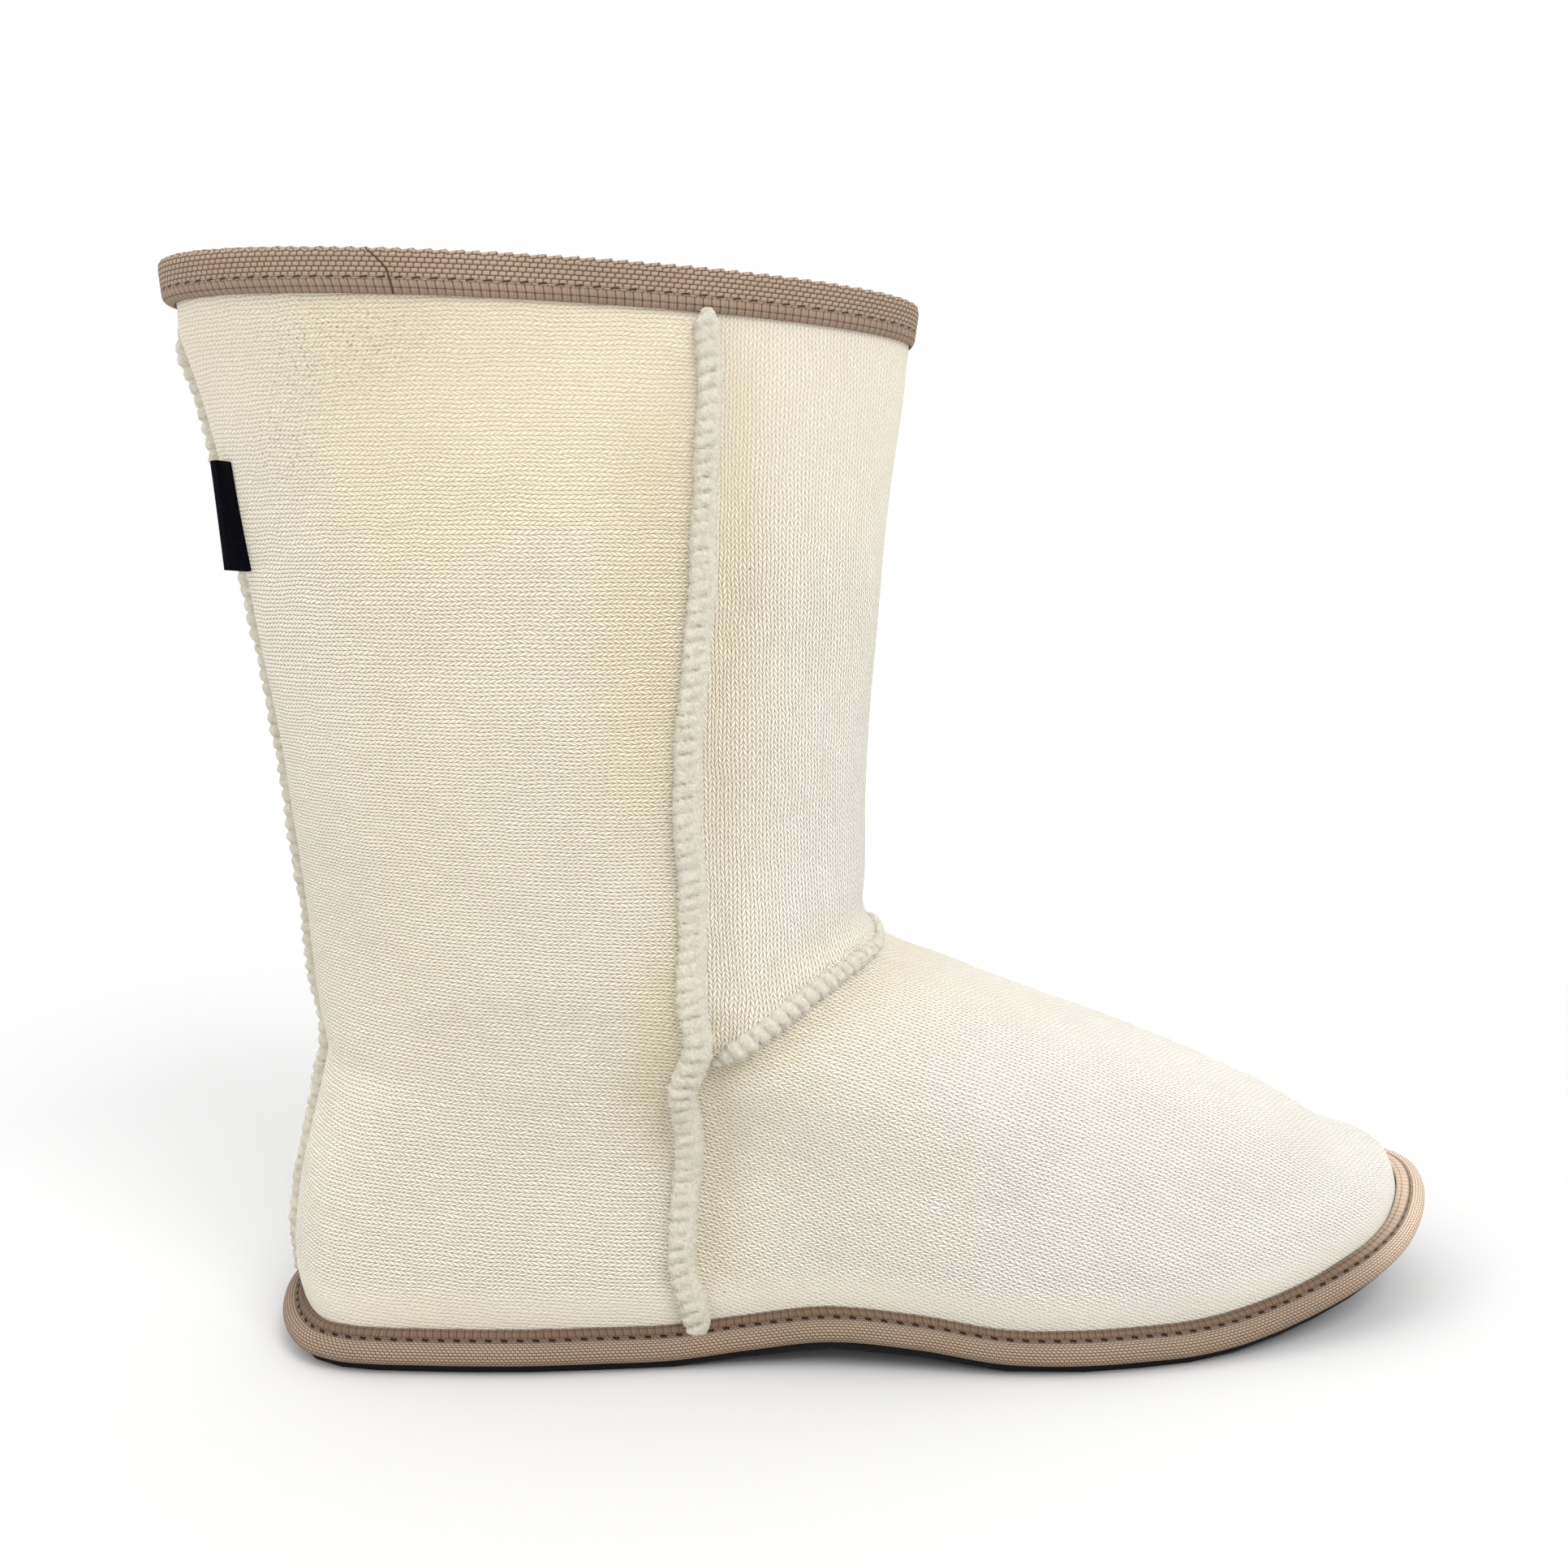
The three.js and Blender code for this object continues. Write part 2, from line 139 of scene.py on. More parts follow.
def material_tree(name):
    material = bpy.data.materials.new(name)
    material.use_nodes = True
    tree = material.node_tree
    tree.nodes.clear()
    return material, Signal(tree)


def paint(a, b, amount):
    near = amount if isinstance(amount, Signal) else a
    return near.node("Mix", {"data_type": "RGBA"}, {0: amount, 6: a, 7: b}, output=2)


def noise(start, place, scale, detail=2.0, roughness=0.5):
    inputs = {"Vector": place, "Scale": scale, "Detail": detail, "Roughness": roughness}
    return start.node("TexNoise", None, inputs)


def place_in_mm(start):
    place = start.node("TexCoord", output="Object")
    return start.node("VectorMath", {"operation": "SCALE"}, {"Vector": place, "Scale": 1 / MM})


def split(start, place):
    return start.node("SeparateXYZ", None, {"Vector": place})


def cloth_uv(start):
    spot = split(start, start.node("UVMap", {"uv_map": "cloth"}))
    return spot, spot.sibling("Y")


def attribute(start, name):
    return start.node("Attribute", {"attribute_name": name}, output="Fac")


def surface(start, inputs):
    shader = start.node("BsdfPrincipled", None, inputs)
    start.node("OutputMaterial", None, {"Surface": shader})


def finish_material(start, colour, roughness, height, depth, sheen=0.0, shine=0.25):
    bump = start.node("Bump", None, {"Height": height, "Distance": depth * MM, "Strength": 1.0})
    surface(start, {
        "Base Color": colour,
        "Roughness": roughness,
        "Normal": bump,
        "Sheen Weight": sheen,
        "Sheen Roughness": 0.5,
        "Specular IOR Level": shine,
    })


print("signals ready")

# %% [markdown]
# A pale boot on a pale floor wants light from everywhere, as in a white tent. The tent glows most above
# and behind the boot, so the background is pure white and the edges of the wool melt into it, while the
# side that shows keeps enough shade for its knit. A panel high on the toe's side gives that shade a
# direction, and a weaker one by the heel softens it.

# %% Light
TENT_FRONT = 0.84
TENT_BACK = 1.02
TENT_TOP = 0.75
AIM = Vector((0, 0, 0.1))
PANELS = [
    {"name": "key", "place": (0.5, -0.9, 1.3), "size": 0.7, "watts": 13.0},
    {"name": "heel_side", "place": (-1.2, -0.4, 0.9), "size": 0.9, "watts": 6.0},
]


def light_panel(name, place, size, watts):
    panel = placed(name, bpy.data.lights.new(name, "AREA"))
    panel.data.size = size
    panel.data.energy = watts
    panel.location = place
    panel.rotation_euler = (AIM - panel.location).to_track_quat("-Z", "Y").to_euler()


def white_tent():
    world = bpy.data.worlds.new("white_tent")
    world.use_nodes = True
    world.node_tree.nodes.clear()
    start = Signal(world.node_tree)
    way = split(start, start.node("TexCoord", output="Generated"))
    behind = way.sibling("Y").ease(-0.3, 0.45)
    above = way.sibling("Z").ease(0.25, 1.0)
    glow = behind * (TENT_BACK - TENT_FRONT) + above * TENT_TOP + TENT_FRONT
    sky = start.node("Background", None, {"Color": (1, 1, 1, 1), "Strength": glow})
    start.node("OutputWorld", None, {"Surface": sky})
    return world


for panel in PANELS:
    light_panel(**panel)
bpy.context.scene.world = white_tent()
bpy.context.scene.view_settings.view_transform = "Standard"
print("panels", len(PANELS))

# %% [markdown]
# The floor is one large square. Near the boot it is grey enough to hold the soft shadow under the arch
# and the toe, and farther off it pales until it joins the white background.

# %% Floor
FLOOR_HALF = 6.0
FLOOR_NEAR = 0.57
FLOOR_FAR = 0.95
FLOOR_FADE = (350, 1000)
floor_mesh = bmesh.new()
bmesh.ops.create_grid(floor_mesh, x_segments=1, y_segments=1, size=FLOOR_HALF)
floor = placed("floor", bpy.data.meshes.new("floor"))
floor_mesh.to_mesh(floor.data)
floor_mesh.free()
material, start = material_tree("pale_floor")
away = start.node("VectorMath", {"operation": "LENGTH"}, {0: place_in_mm(start)}, output="Value")
floor_tone = away.ease(*FLOOR_FADE) * (FLOOR_FAR - FLOOR_NEAR) + FLOOR_NEAR
surface(start, {"Base Color": floor_tone, "Roughness": 0.9})
floor.data.materials.append(material)
print("floor", 2 * FLOOR_HALF, "m wide")

# %% [markdown]
# The curved solids were lofted: rings of corners, station after station. Their meshes arrive as loose
# triangles, so the rings are read back first. In such a grid any two neighbouring triangles make a
# parallelogram, so once one triangle's edges are known as along, round and diagonal, all the others
# follow from it.

# %% Read a lofted solid back as rings
WELD = 1e-7
ALONG, ROUND, DIAGONAL = range(3)
CAP_TURN = 0.6


def edge_way(edge):
    return (edge.verts[1].co - edge.verts[0].co).normalized()


def first_triangle(mesh, along):
    reach = [vert.co.dot(along) for vert in mesh.verts]
    middle, extent = (min(reach) + max(reach)) / 2, max(reach) - min(reach)

    def clear(face):
        lean = sorted(abs(edge_way(edge).dot(along)) for edge in face.edges)
        central = abs(face.calc_center_median().dot(along) - middle) < extent / 6
        return lean[2] - lean[1] - 2 * lean[0] if central else -1

    return max(mesh.faces, key=clear)


def edge_kinds(mesh, along):
    face = first_triangle(mesh, along)
    by_lean = sorted(face.edges, key=lambda edge: -abs(edge_way(edge).dot(along)))
    kinds = dict(zip(by_lean, (ALONG, DIAGONAL, ROUND)))
    waiting, done = deque([face]), {face}
    while waiting:
        face = waiting.popleft()
        forward = next(edge_way(edge) for edge in face.edges if kinds[edge] == ALONG)
        for loop in face.loops:
            twin = loop.link_loop_radial_next
            cap = kinds[loop.edge] == ROUND and abs(twin.face.normal.dot(forward)) > CAP_TURN
            if twin.face in done or cap:
                continue
            kinds[twin.link_loop_next.edge] = kinds[loop.link_loop_next.edge]
            kinds[twin.link_loop_prev.edge] = kinds[loop.link_loop_prev.edge]
            done.add(twin.face)
            waiting.append(twin.face)
    return kinds


def neighbours(kinds, kind):
    links = {}
    for edge, its_kind in kinds.items():
        if its_kind == kind:
            a, b = edge.verts
            links.setdefault(a, []).append(b)
            links.setdefault(b, []).append(a)
    return links


def walk(links, before, here):
    path = [before]
    while here is not None and here is not path[0]:
        path.append(here)
        here = next((v for v in links[here] if v is not path[-2]), None)
    return path


def welded(node):
    mesh = bmesh.new()
    mesh.from_mesh(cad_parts[node].data)
    bmesh.ops.remove_doubles(mesh, verts=mesh.verts, dist=WELD)
    return mesh


def loft_rings(node, along):
    mesh = welded(node)
    mesh.normal_update()
    along = Vector(along)
    kinds = edge_kinds(mesh, along)
    onward, around = neighbours(kinds, ALONG), neighbours(kinds, ROUND)
    ends = [v for v in around if len(onward[v]) == 1]
    corner = min(ends or around, key=lambda v: v.co.dot(along))
    rings = [walk(around, corner, around[corner][0])]
    forward = onward[corner][0]
    while forward is not None and forward not in rings[0]:
        last = rings[-1]
        ring = [forward]
        for here in last[1:]:
            ring.append(next(v for v in onward[here] if v in around[ring[-1]]))
        rings.append(ring)
        forward = next((v for v in onward[ring[0]] if v is not last[0]), None)
    points = np.array([[v.co[:] for v in ring] for ring in rings]) / MM
    mesh.free()
    return points if ends else heel_first(points)


print("corners closer than", WELD, "m are welded")

# %% [markdown]
# A ring's corners may come out in either order, and a closed loft may start anywhere. Every loft is
# turned so that it starts at the heel and goes by the outer side of the foot, with its faces looking
# outwards.

# %% Put the rings in one order
def heel_first(points):
    middle = points.mean(axis=1)
    after = np.roll(middle, -1, axis=0)
    turn = (middle[:, 0] * after[:, 1] - after[:, 0] * middle[:, 1]).sum()
    points = points if turn > 0 else points[::-1]
    return np.roll(points, -np.argmin(points.mean(axis=1)[:, 0]), axis=0)


def facing_out(points):
    along = points[1] - points[0]
    across = np.roll(points[0], -1, axis=0) - points[0]
    outwards = np.cross(along, across) * (points[0] - points[0].mean(axis=0))
    return points if outwards.sum() > 0 else points[:, ::-1]


LOFTS = {
    "upper": (1, 0, 0),
    "sole_binding": (1, 0, 0),
    "collar_binding": (1, 0, 0),
    "outer_side_seam": (0, 0, 1),
    "inner_side_seam": (0, 0, 1),
    "back_seam": (0, 0, 1),
    "instep_seam": (0, 1, 0),
    "back_tab": (0, 0, 1),
}
rings = {node: facing_out(loft_rings(node, along)) for node, along in LOFTS.items()}
for node, points in rings.items():
    print(node, "stations and corners", points.shape[:2])

# %% [markdown]
# The solids have flat facets, and wool has none. A smooth curve drawn through the corners keeps every one
# of them in its place and only rounds what lies between, so the soft piece has the form of its solid.

# %% Smooth curves through the rings
def unit(vectors):
    return vectors / np.linalg.norm(vectors, axis=-1, keepdims=True)


def ease(value, low, high):
    t = np.clip((value - low) / (high - low), 0, 1)
    return t * t * (3 - 2 * t)


def distances(rows):
    step = np.linalg.norm(np.diff(rows, axis=0), axis=-1)
    step = step.reshape(len(step), -1).mean(axis=1)
    return np.concatenate([[0], np.cumsum(step)])


def through(rows, knots, places):
    shape = (len(places),) + rows.shape[1:]
    flat = rows.reshape(len(rows), -1)
    step = np.diff(knots)[:, None]
    slope = np.diff(flat, axis=0) / step
    lean = np.vstack([slope[:1], slope])
    lean[1:-1] = (slope[:-1] * step[1:] + slope[1:] * step[:-1]) / (step[:-1] + step[1:])
    k = np.clip(np.searchsorted(knots, places, side="right") - 1, 0, len(knots) - 2)
    t = ((places - knots[k]) / step[k, 0])[:, None]
    bend = t * t * (3 - 2 * t)
    value = flat[k] * (1 - bend) + flat[k + 1] * bend
    value += step[k] * (lean[k] * t * (1 - t) ** 2 - lean[k + 1] * t * t * (1 - t))
    return value.reshape(shape)


def through_closed(rows, count):
    around = np.concatenate([rows[-3:], rows, rows[:4]])
    knots = distances(around)
    places = np.linspace(knots[3], knots[-4], count, endpoint=False)
    return through(around, knots, places)


def through_open(rows, count):
    knots = distances(rows)
    return through(rows, knots, np.linspace(0, knots[-1], count))


collar_line = through_closed(rings["collar_binding"].mean(axis=1), 200)
print("the collar is", round(distances(collar_line)[-1]), "mm round")

# %% [markdown]
# A soft piece starts as Blender's flat grid. Its corners are laid on rows of points, and where the first
# and the last row meet they are welded, which turns the sheet into a tube or a ring.

# %% A grid laid on rows of points
def wrapped(values, closed):
    for axis, joins in enumerate(closed):
        if joins:
            values = np.concatenate([values, values.take([0], axis=axis)], axis=axis)
    return values


def grid_piece(name, points, spots, closed=(True, True), masks=None, panel=None):
    points = wrapped(points, closed)
    columns, rows = points.shape[0] - 1, points.shape[1] - 1
    mesh = bmesh.new()
    bmesh.ops.create_grid(mesh, x_segments=columns, y_segments=rows, size=1)
    across = [round((v.co.x + 1) / 2 * columns) for v in mesh.verts]
    along = [round((v.co.y + 1) / 2 * rows) for v in mesh.verts]
    layers = {mask: mesh.verts.layers.float.new(mask) for mask in masks or {}}
    values = {mask: wrapped(array, closed) for mask, array in (masks or {}).items()}
    cloth = mesh.loops.layers.uv.new("cloth")
    for face in mesh.faces:
        i = min(across[v.index] for v in face.verts)
        j = min(along[v.index] for v in face.verts)
        spot = spots[panel[i, j]] if panel is not None else spots
        for loop in face.loops:
            loop[cloth].uv = spot[across[loop.vert.index], along[loop.vert.index]]
    for vert, i, j in zip(mesh.verts, across, along):
        vert.co = points[i, j] * MM
        for mask, layer in layers.items():
            vert[layer] = values[mask][i, j]
    bmesh.ops.remove_doubles(mesh, verts=mesh.verts, dist=WELD)
    return mesh_piece(name, mesh)


def mesh_piece(name, mesh):
    data = bpy.data.meshes.new(name)
    mesh.to_mesh(data)
    mesh.free()
    data.shade_smooth()
    return placed(name, data)


def dress(piece, material, slot, *nodes):
    piece.data.materials.append(material)
    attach(piece, "root")
    if nodes:
        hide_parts(*nodes)
    print(piece.name, "has", len(piece.data.polygons), "faces")
    return piece


print("every grid piece has a map named cloth")

# %% [markdown]
# The upper's wall is one ring of corners at each station: up the outer face and down the inner one. The
# two faces are smoothed apart, because a curve run over the sharp rim would swell there.

# %% The upper's two faces
UPPER_STATIONS = 336
OUTER_ROWS = 132
INNER_ROWS = 40

ring_heights = rings["upper"][0, :, 2]
first_corner = np.argmin(ring_heights + np.roll(ring_heights, 1))
wall_rings = np.roll(rings["upper"], -first_corner, axis=1)
half_ring = wall_rings.shape[1] // 2


def wall_face(corners, rows):
    smooth = through_closed(corners, UPPER_STATIONS)
    return through_open(smooth.swapaxes(0, 1), rows).swapaxes(0, 1)


def face_normals(face):
    along = np.roll(face, -1, axis=0) - np.roll(face, 1, axis=0)
    return unit(np.cross(along, np.gradient(face, axis=1)))


outer_face = wall_face(wall_rings[:, :half_ring], OUTER_ROWS)
inner_face = wall_face(wall_rings[:, :half_ring - 1:-1], INNER_ROWS)
outer_normals = face_normals(outer_face)
print("outer face rises", round(np.ptp(outer_face[..., 2]), 1), "mm")

# %% [markdown]
# Places on the boot are told by its seams: how far a spot lies before or behind the side seam, and how
# far above or below the seam over the instep. Those two distances part the three knit panels.

# %% Distances from the seams
ANKLE_X = -35.0


def seam_line(node):
    return rings[node].mean(axis=1)


def from_side_seam(points):
    x, y, z = np.moveaxis(points, -1, 0)
    outer, inner = seam_line("outer_side_seam"), seam_line("inner_side_seam")
    outer_x = np.interp(z, outer[:, 2], outer[:, 0])
    inner_x = np.interp(z, inner[:, 2], inner[:, 0])
    return x - np.where(y < 0, outer_x, inner_x)


def from_instep_seam(points):
    x, y, z = np.moveaxis(points, -1, 0)
    line = seam_line("instep_seam")
    bearing = np.arctan2(line[:, 1], line[:, 0] - ANKLE_X)
    return z - np.interp(np.arctan2(y, x - ANKLE_X), bearing, line[:, 2])


print("outer side seam lies about", round(seam_line("outer_side_seam")[:, 0].mean(), 1), "mm along")

# %% [markdown]
# Soft wool is pulled in beside every seam and sags between its folds. Each crease is one row of a table:
# how far it lies from its seam, how wide it is, the heights between which it runs, how deep it goes, and
# how much painted shade, tinted yellow-brown, lies in it.

# %% Creases of the upper
CREASE_COLUMNS = ["seam", "offset", "width", "low", "high", "fade", "depth", "crease_shade"]
CREASES = [
    ["side", -5.0, 4.0, 8, 215, 12, 0.9, 0.25],
    ["side", 5.5, 4.0, 8, 215, 12, 0.7, 0.2],
    ["side", -12.0, 8.0, 118, 205, 25, 1.0, 0.75],
    ["side", -9.0, 7.0, 48, 92, 14, 0.6, 0.7],
    ["side", 8.0, 6.0, 12, 62, 12, 0.8, 0.6],
    ["side", 9.0, 7.0, 110, 190, 25, 0.7, 0.55],
    ["instep", -5.5, 5.0, 60, 95, 6, 1.3, 0.7],
    ["instep", 5.0, 4.0, 60, 95, 6, 0.7, 0.25],
]


def table(columns, rows):
    return [dict(zip(columns, row)) for row in rows]


def bell(value, middle, width):
    return np.exp(-(((value - middle) / width) ** 2))


def past(value, place, fade):
    return ease(value, place - fade, place + fade)


def crease_amount(crease, points, distance):
    z = points[..., 2]
    across = bell(distance[crease["seam"]], crease["offset"], crease["width"])
    if crease["seam"] == "instep":
        across = across * (distance["side"] > 0)
    rise = past(z, crease["low"], crease["fade"])
    fall = 1 - past(z, crease["high"], crease["fade"])
    return across * rise * fall


distance = {"side": from_side_seam(outer_face), "instep": from_instep_seam(outer_face)}
sunk = np.zeros(outer_face.shape[:2])
# painted shade: each crease also darkens the colour with a yellow-brown tint
crease_shade = np.zeros(outer_face.shape[:2])
for crease in table(CREASE_COLUMNS, CREASES):
    amount = crease_amount(crease, outer_face, distance)
    sunk += crease["depth"] * amount
    crease_shade += crease["crease_shade"] * amount
print("deepest crease", round(sunk.max(), 2), "mm")

# %% [markdown]
# The waist behind the heel folds once, the cloth over the ankle dips above its seam, and on both sides of
# the back seam the back panel swells. The whole shaft has the slow waves of a thick cloth that was never
# pressed. Waves of long, unequal lengths that cross each other don't read as a pattern.

# %% Folds, swells and slow waves
HEEL_FOLD = {"height": 66.0, "tilt": 0.12, "width": 4.5, "depth": 0.9, "front": -95.0, "fade": 14.0}
ANKLE_DIP = {"above": 3.0, "width": 8.0, "reach": 20.0, "depth": 2.6}
BACK_SWELL = {"beside": 7.0, "width": 8.0, "front": -85.0, "heel": 1.5, "shaft": 2.2, "rise": (60, 110)}
WAVES = [(61.0, 0.5, 0.22), (37.0, 2.1, 0.14), (83.0, 4.0, 0.25)]
WAVE_LEAN, CROSSING_LEAN = 0.4, 0.3
CROSSING = 71.0
CREASE_FADES = {"foot": (4, 16), "rim": (-26, -9)}
SWELL_FADES = {"foot": (-2, 8), "rim": (-14, -5)}


def inside_edges(way, foot, rim):
    return ease(way, *foot) * (1 - ease(way, way[-1] + rim[0], way[-1] + rim[1]))


x, y, z = np.moveaxis(outer_face, -1, 0)
fold = bell(z - HEEL_FOLD["tilt"] * y, HEEL_FOLD["height"], HEEL_FOLD["width"])
fold *= 1 - past(x, HEEL_FOLD["front"], HEEL_FOLD["fade"])
sunk += HEEL_FOLD["depth"] * fold
dip = bell(distance["instep"], ANKLE_DIP["above"], ANKLE_DIP["width"]) * bell(y, 0, ANKLE_DIP["reach"])
sunk += ANKLE_DIP["depth"] * dip * (distance["side"] > 0)
swell = bell(np.abs(y), BACK_SWELL["beside"], BACK_SWELL["width"]) * (x < BACK_SWELL["front"])
swell *= BACK_SWELL["heel"] + (BACK_SWELL["shaft"] - BACK_SWELL["heel"]) * ease(z, *BACK_SWELL["rise"])
for length, shift, height in WAVES:
    rising = np.sin(2 * np.pi * (z + WAVE_LEAN * x) / length + shift)
    crossing = np.sin(2 * np.pi * (x - CROSSING_LEAN * y) / CROSSING + shift)
    sunk += height * rising * crossing
wall_way = distances(outer_face.swapaxes(0, 1))
away_from_edges = inside_edges(wall_way, **CREASE_FADES)
swell *= inside_edges(wall_way, **SWELL_FADES)
outer_face = outer_face + outer_normals * (swell - sunk * away_from_edges)[..., None]
outer_normals = face_normals(outer_face)
print("waves added", len(WAVES))

# %% [markdown]
# The knit's stitches stand in columns. Behind the side seam the columns lie level, over the front of the
# shaft they stand upright, and on the foot they run down the slope to the toe. Each panel gets its own
# map in millimetres: the first number goes across the columns and the second along them. In front the
# first one is added up over the surface, step by step, so the columns keep their width where the cloth
# turns.

# %% Knit maps of the three panels
BACK, FRONT, FOOT = range(3)
FOOT_SLOPE = math.radians(24)
BACK_LEAN = 0.1
LEAN_FADE = (70, 150)
FELT_FOOT = (7, 15)
FELT_COLLAR = (-75, -20)
FOOT_ROW = 24
SHAFT_ROW = 84
DOWN = np.array([0.0, 0.0, -1.0])


def level_distance(face):
    step = np.linalg.norm(np.diff(wrapped(face, (True, False)), axis=0), axis=-1)
    return np.concatenate([np.zeros((1, face.shape[1])), np.cumsum(step, axis=0)])


def summed(face, across, axis):
    step = np.diff(face, axis=axis)
    here = np.delete(across, -1, axis=axis)
    total = np.cumsum((step * here).sum(axis=-1), axis=axis)
    start = np.zeros_like(total.take([0], axis=axis))
    return np.concatenate([start, total], axis=axis)


def across_columns(face, normals, way, row):
    across = unit(np.cross(normals, way))
    up_wall = summed(face, across, axis=1)
    steady = summed(face[:, row:row + 1], across[:, row:row + 1], axis=0)
    total = np.zeros(shown.shape[:2])
    total[:-1, :OUTER_ROWS] = up_wall - up_wall[:, row:row + 1] + steady
    total[-1] = total[0]
    return total


def knit_maps(points, arc, over_front, over_foot):
    x, y, z = np.moveaxis(points, -1, 0)
    lean = BACK_LEAN * x * (1 - ease(z, *LEAN_FADE))
    return np.array([
        np.stack([z + lean, arc], axis=-1),
        np.stack([over_front, z], axis=-1),
        np.stack([over_foot, points @ TOE_WAY], axis=-1),
    ])


TOE_WAY = np.array([math.cos(FOOT_SLOPE), 0, -math.sin(FOOT_SLOPE)])
wall = np.concatenate([outer_face, inner_face[:, ::-1]], axis=1)
shown = wrapped(wall, (True, True))
arc = wrapped(level_distance(wall), (False, True))
centres = (shown[:-1, :-1] + shown[1:, 1:]) / 2
before_side = np.where(from_instep_seam(centres) > 0, FRONT, FOOT)
panel = np.where(from_side_seam(centres) < 0, BACK, before_side)
over_front = across_columns(outer_face, outer_normals, DOWN, SHAFT_ROW)
over_foot = across_columns(outer_face, outer_normals, TOE_WAY, FOOT_ROW)
inside = np.zeros(wall.shape[:2])
inside[:, OUTER_ROWS:] = 1
# the creases' painted shade, kept on the outer face away from its edges
painted_crease_shade = np.zeros(wall.shape[:2])
painted_crease_shade[:, :OUTER_ROWS] = np.clip(crease_shade * away_from_edges, 0, 1)
felted = np.zeros(wall.shape[:2])
near_collar = ease(wall_way, wall_way[-1] + FELT_COLLAR[0], wall_way[-1] + FELT_COLLAR[1])
felted[:, :OUTER_ROWS] = 1 - (0.3 + 0.7 * ease(wall_way, *FELT_FOOT)) * (1 - 0.6 * near_collar)
print("faces in each panel", np.bincount(panel.ravel()))

# %% [markdown]
# Close up, one stitch is a V of two slanted legs, and a column is a row of Vs. The legs come from the
# distance to the middle of the column: adding a share of it to the place along the column slants both
# legs at once, and a sine over each leg rounds it. Between two columns the cloth has a row of small
# pits, and the shade in them is painted into the colour. A slow noise bends the columns, and towards
# the sole and the collar the stitches are felted away.

# %% Felted knit
WALE = 1.72
STITCH = 1.24
LEG_SLANT = 1.15
CREAM = (0.86, 0.795, 0.625, 1)
IVORY = (0.87, 0.868, 0.815, 1)
PIT_SHADE = (0.42, 0.345, 0.215, 1)
CREASE_SHADE_TINT = (0.76, 0.62, 0.34, 1)
GREY = (0.22, 0.20, 0.18, 1)
SPECK = (0.05, 0.04, 0.03, 1)
MEAN_PIT = 0.37
FELT_SHADE = 0.33
PIT_CONTRAST = 1.4
PATCHINESS = 0.1
FLEECE = (0.78, 0.75, 0.66, 1)
SMUDGE_COLUMNS = ["x", "y", "z", "radius", "strength"]
SMUDGES = [
    [-108, -30, 213, 22, 1.0],
    [-115, -24, 193, 18, 0.9],
    [-92, -34, 216, 16, 0.7],
    [31, -41, 39, 13, 0.6],
    [56, -39, 36, 10, 0.6],
]


def knit_stitches(start, place):
    across, along = cloth_uv(start)
    across = across + (noise(start, place, 0.12, 4.0, 0.6) - 0.5) * 1.6
    along = along + (noise(start, place, 0.17, 4.0, 0.6) - 0.5) * 2.2
    middle = ((across / WALE).part() - 0.5).size() * 2
    leg = (along / STITCH + middle * LEG_SLANT).part().hump()
    ridge = middle.hump() ** 0.5
    return ridge * (leg * 0.6 + 0.4), (1 - ridge * (leg ** 0.8 * 0.9 + 0.1)) ** 1.4


def smudges(start, place):
    total = None
    for spot in table(SMUDGE_COLUMNS, SMUDGES):
        centre = (spot["x"], spot["y"], spot["z"])
        away = start.node("VectorMath", {"operation": "DISTANCE"}, {0: place, 1: centre}, output="Value")
        soft = (1 - away.ease(0, spot["radius"])) * spot["strength"]
        total = soft if total is None else total + soft
    dust = noise(start, place, 0.4, 4.0, 0.8).ease(0.35, 0.7)
    return total * (dust * 0.25 + noise(start, place, 1.6).ease(0.56, 0.66) * 0.8)


def specks(start, place):
    cells = start.node("TexVoronoi", {"feature": "F1"}, {"Vector": place, "Scale": 0.075})
    return (1 - cells.ease(0.009, 0.022)) * cells.sibling("Color").ease(0.5, 0.56)


def felted_knit():
    material, start = material_tree("felted_wool_knit")
    place = place_in_mm(start)
    stitches, pits = knit_stitches(start, place)
    lining = attribute(start, "inside")
    felted = attribute(start, "felted")
    painted_crease_shade = attribute(start, "painted_crease_shade")
    fibres = noise(start, place, 1.7, 4.0, 0.7)
    patches = noise(start, place, 0.07, 4.0, 0.6).ease(0.3, 0.72)
    clear = (1 - felted) * (1 - patches * PATCHINESS)
    fluffy = noise(start, place, 0.5, 5.0, 0.75) * 2.4
    height = (stitches * clear + fibres * 0.6) * (1 - lining) + fluffy * lining
    where = split(start, place)
    high = where.sibling("Z")
    # partly painted light: the wool is whiter towards the toe and low down, on the front of the shaft and
    # at the back edge; partly the yarn's own tone
    pale_and_lit = (where * 1.15 - high * 0.65).ease(-245, 90) + (0 - where).ease(92, 128) * 0.5
    pale_and_lit = pale_and_lit + where.ease(-48, -12) * high.ease(70, 105) * 0.4
    wool = paint(CREAM, IVORY, pale_and_lit)
    # painted shade: the creases are tinted yellow-brown
    wool = paint(wool, CREASE_SHADE_TINT, painted_crease_shade * 0.45)
    # painted shade in the pits between the columns
    shade = (pits - MEAN_PIT) * clear * PIT_CONTRAST + FELT_SHADE + felted * 0.1
    # painted shade: the shaft darkens towards the collar, more on the back panel
    shade = shade + high.ease(130, 225) * ((0 - where).ease(45, 95) * 0.07 + 0.13)
    wool = paint(wool, PIT_SHADE, shade + (0.5 - fibres) * 0.35)
    wool = paint(wool, GREY, smudges(start, place) * (pits * 0.7 + 0.3))
    wool = paint(wool, SPECK, specks(start, place) * 0.85)
    wool = paint(wool, FLEECE, lining)
    finish_material(start, wool, 0.95, height, 0.45, sheen=0.2)
    return material


